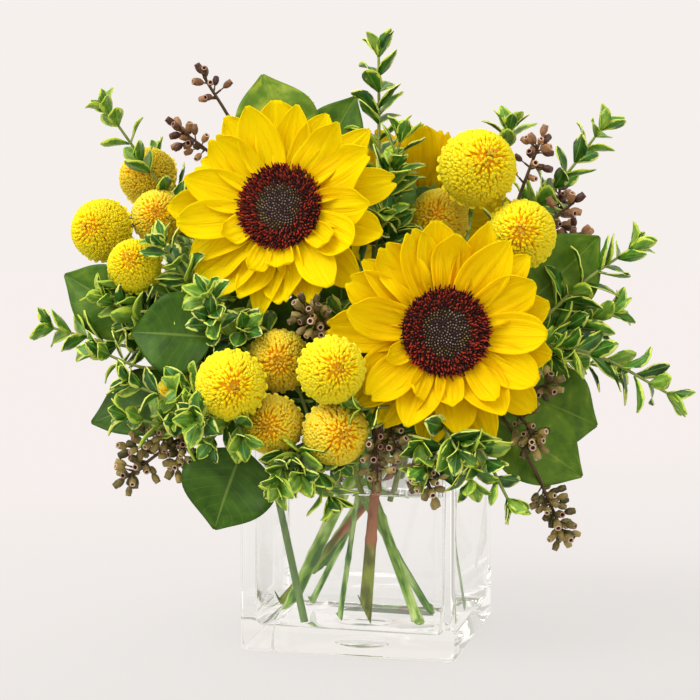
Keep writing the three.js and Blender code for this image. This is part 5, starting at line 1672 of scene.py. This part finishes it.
def lay_pair(bunch, centre, forward, turn, opened, size, own, count=2):
    """Leaves beyond the solid's own, turned a little to the light, where there is room."""
    side, up, ahead = frame_of(forward)
    for half in range(count):
        out = outward(side, up, turn + half * 2 * math.pi / count)
        way, face = opened_from(ahead, out, opened)
        root = centre + out * 0.5
        length = BOX_LEAF_LENGTH * size * bunch.leaf_size[0]
        if room_for(root + way * 2, root + way * (length + 1)):
            to_light = unit(root - BOUQUET_HEART)
            _, face, way = frame_along(way, face + to_light * LIGHT_SEEKING)
            lay_leaf(bunch, root, way, face, size, -0.25 + spread(own, 0.25), own)


def lay_row(bunch, points, steps, bare, end, smaller, taken, own):
    """Pairs up a sprig, each crosswise to the last, but none at the places that are taken."""
    reach = length_of(points)
    turn, t, forward = own() * 3, bare, None
    while t < end:
        if t > 0.12 and all(abs(t - place) * reach > FROM_SOLID_PAIR for place in taken):
            centre, forward = on_stem(points, steps, t)
            lay_pair(bunch, centre, forward, turn + spread(own, 0.3), 0.85 + spread(own, 0.2),
                     1 - smaller * t + spread(own, 0.08), own)
        turn += math.pi / 2
        t += PAIR_SPACING / reach
    return turn, forward


# %% Lay a sprig, the solid model's or one more
def lay_sprig(bunch, node_name, points, bare, pairs, draw, own):
    """The solid model's own pairs, the pairs between them, and a rosette at the tip."""
    taken = []
    for pair in range(pairs):
        share = 1 if pairs == 1 else pair / (pairs - 1)
        taken.append(min(bare + (1 - bare) * share, 0.97))
        centre, forward = on_stem(points, TWIG_STEPS, taken[-1])
        side, up, ahead = frame_of(forward)
        turn = pair * (math.pi / 2) + 0.5 + spread(draw, 0.35)
        opened = (0.5 if share == 1 else 0.85) + spread(draw, 0.15)
        curl = -0.35 + spread(draw, 0.25)
        for half in range(2):
            out = outward(side, up, turn + half * math.pi)
            way, face = opened_from(ahead, out, opened)
            root, size = centre + out * 0.15, 1 - 0.3 * share
            lies = found_bend(node_name, f"leaf {pair}.{half}", root, way, face,
                              BOX_LEAF_LENGTH * size, curl)
            if lies is not None:
                lay_leaf(bunch, root, lies[0], lies[1], size * lies[2], curl, own)
    lowest = min(taken) - 1.5 * PAIR_SPACING / length_of(points)
    turn, _ = lay_row(bunch, points, TWIG_STEPS, lowest, 0.95, 0.28, taken, own)
    centre, forward = on_stem(points, TWIG_STEPS, 0.985)
    lay_pair(bunch, centre, forward, turn, ROSETTE_OPEN, ROSETTE_SIZE, own, ROSETTE)


def lay_extra_sprig(start, tip, bunch, lines, own):
    """A sprig that the solid model leaves to this file, leafy for most of its way."""
    middle = (start + tip) / 2 + (spread(own, 4), spread(own, 4), 3)
    points = [start, middle, tip]
    lines.append(tapered(smooth_line(points, np.linspace(0, 1, 9)), 1.1, 0.7))
    turn, forward = lay_row(bunch, points, 4, 0.25, 0.96, 0.25, (), own)
    lay_pair(bunch, tip, forward, turn, ROSETTE_OPEN, ROSETTE_SIZE, own, ROSETTE)


# %% Lay the boxwood
def lay_boxwood(name, seed, stem, sprigs):
    draw, own = seeded(seed), seeded(seed + 1700)
    bunch = Bunch(LONG_LEAVED.get(name, (1, 1)))
    used = pushed(name, stem, (1.7, 1.3), 4, STEM_STEPS)
    lines = [tapered(centre_line(used, STEM_STEPS, 5), 1.7, 1.3)]
    for index, (places, bare, pairs) in enumerate(sprigs):
        points, line = twig_of(name, used, index, places, (1.4, 1.2), (1.3, 0.8))
        lines.append(line)
        lay_sprig(bunch, name, points, bare, pairs, draw, own)
    for share, tip in EXTRA_SPRIGS.get(name, ()):
        start = on_stem(used, STEM_STEPS, share)[0]
        lay_extra_sprig(start, np.array(tip, float), bunch, lines, own)
    for k in range(INNER_SPRIGS):
        start, forward = on_stem(used, STEM_STEPS, 0.42 + 0.5 * (k + own()) / INNER_SPRIGS)
        to_light = unit(start - BOUQUET_HEART)
        by_chance = [spread(own, 1) for _ in range(3)]
        way = unit(to_light * 0.7 + forward * 0.6 + by_chance)
        tip = start + way * (26 + 12 * own())
        if room_for(start + way * 2, tip + way * 8):
            lay_extra_sprig(start, tip, bunch, lines, own)
    bunch.add_stems(f"{name}_path", lines, kind=1, roundness=1)
    bunch.piece(f"{name}_branch", [BOX_LEAF, BOX_TWIG], "boxwood", name)


for name, spec in BOXWOOD.items():
    lay_boxwood(name, *spec)
print("not found at all:", lost)

# %% [markdown]
# ## Floor, light and camera
# The photo is a product shot on a seamless warm white ground. The light is broad and soft from
# the upper left, so the shadow to the right of the vase is faint. A pale world gives most of the
# light, and two wide suns give the form.

# %% The floor
FLOOR_FAR = "#e2dbd9"


def make_floor():
    """White acrylic, lit from below as product tables are, with painted shade that makes it a
    little darker towards the front and the right.
    """
    material, add = new_material("backlit_white_acrylic")
    places = add("TexCoord", out="Object")
    x, y = add("SeparateXYZ", places), add("SeparateXYZ", places, out=1)
    # Painted shade: the glow is darker towards the front and the right.
    aslant = add("Math SUBTRACT", y, add("Math MULTIPLY", x, 0.9))
    share = add("MapRange", aslant, -0.45, 0.9, 0.0, 1.0)
    glow_with_painted_shade = add("ValToRGB", share, stops=((0.0, "#d0cdca"), (0.45, "#dcd8d5"), (1.0, FLOOR_FAR)))
    far = add("MapRange", add("VectorMath LENGTH", places, out=1), 1.0, 1.9, 0.0, 1.0)
    add("OutputMaterial", add("BsdfPrincipled", {
        "Base Color": "#5c5b5a", "Roughness": 0.9, "Specular IOR Level": 0.0,
        "Emission Color": add("Mix", far, glow_with_painted_shade, FLOOR_FAR), "Emission Strength": 1.0}))
    bpy.ops.mesh.primitive_plane_add(size=24)
    floor = bpy.context.object
    floor.name = "studio_floor"
    clothe(floor.data, [material])
    print(floor.name, "with", material.name)


make_floor()

# %% Light and camera
# Each lamp has its power, its angular size, its tilt and its turn, in degrees.
LAMPS = {"key": (2.0, 40, 42, -38), "front_fill": (0.85, 120, 55, 20)}
CAMERA_PLACE, CAMERA_DOWN, LENS, SENSOR = (0.22905, -0.9375, 0.236), 3.76, 82.29, 36


def make_light():
    world = bpy.data.worlds.new("studio")
    bpy.context.scene.world = world
    world.use_nodes = True
    world.node_tree.nodes.clear()
    add = partial(node, world.node_tree)
    add("OutputWorld", add("Background", "#f6f0ed", 1.0))
    for name, (power, size, tilt, turn) in LAMPS.items():
        bpy.ops.object.light_add(type="SUN", rotation=(math.radians(tilt), 0, math.radians(turn)))
        lamp = bpy.context.object
        lamp.name = f"{name}_light"
        lamp.data.energy = power
        lamp.data.angle = math.radians(size)
        print(lamp.name, power)


def make_camera():
    bpy.ops.object.camera_add(location=CAMERA_PLACE,
                              rotation=(math.radians(90 - CAMERA_DOWN), 0, FACING))
    camera = bpy.context.object
    camera.data.lens = LENS
    camera.data.sensor_width = SENSOR
    bpy.context.scene.camera = camera


make_light()
make_camera()
bpy.context.scene.view_settings.view_transform = "Standard"
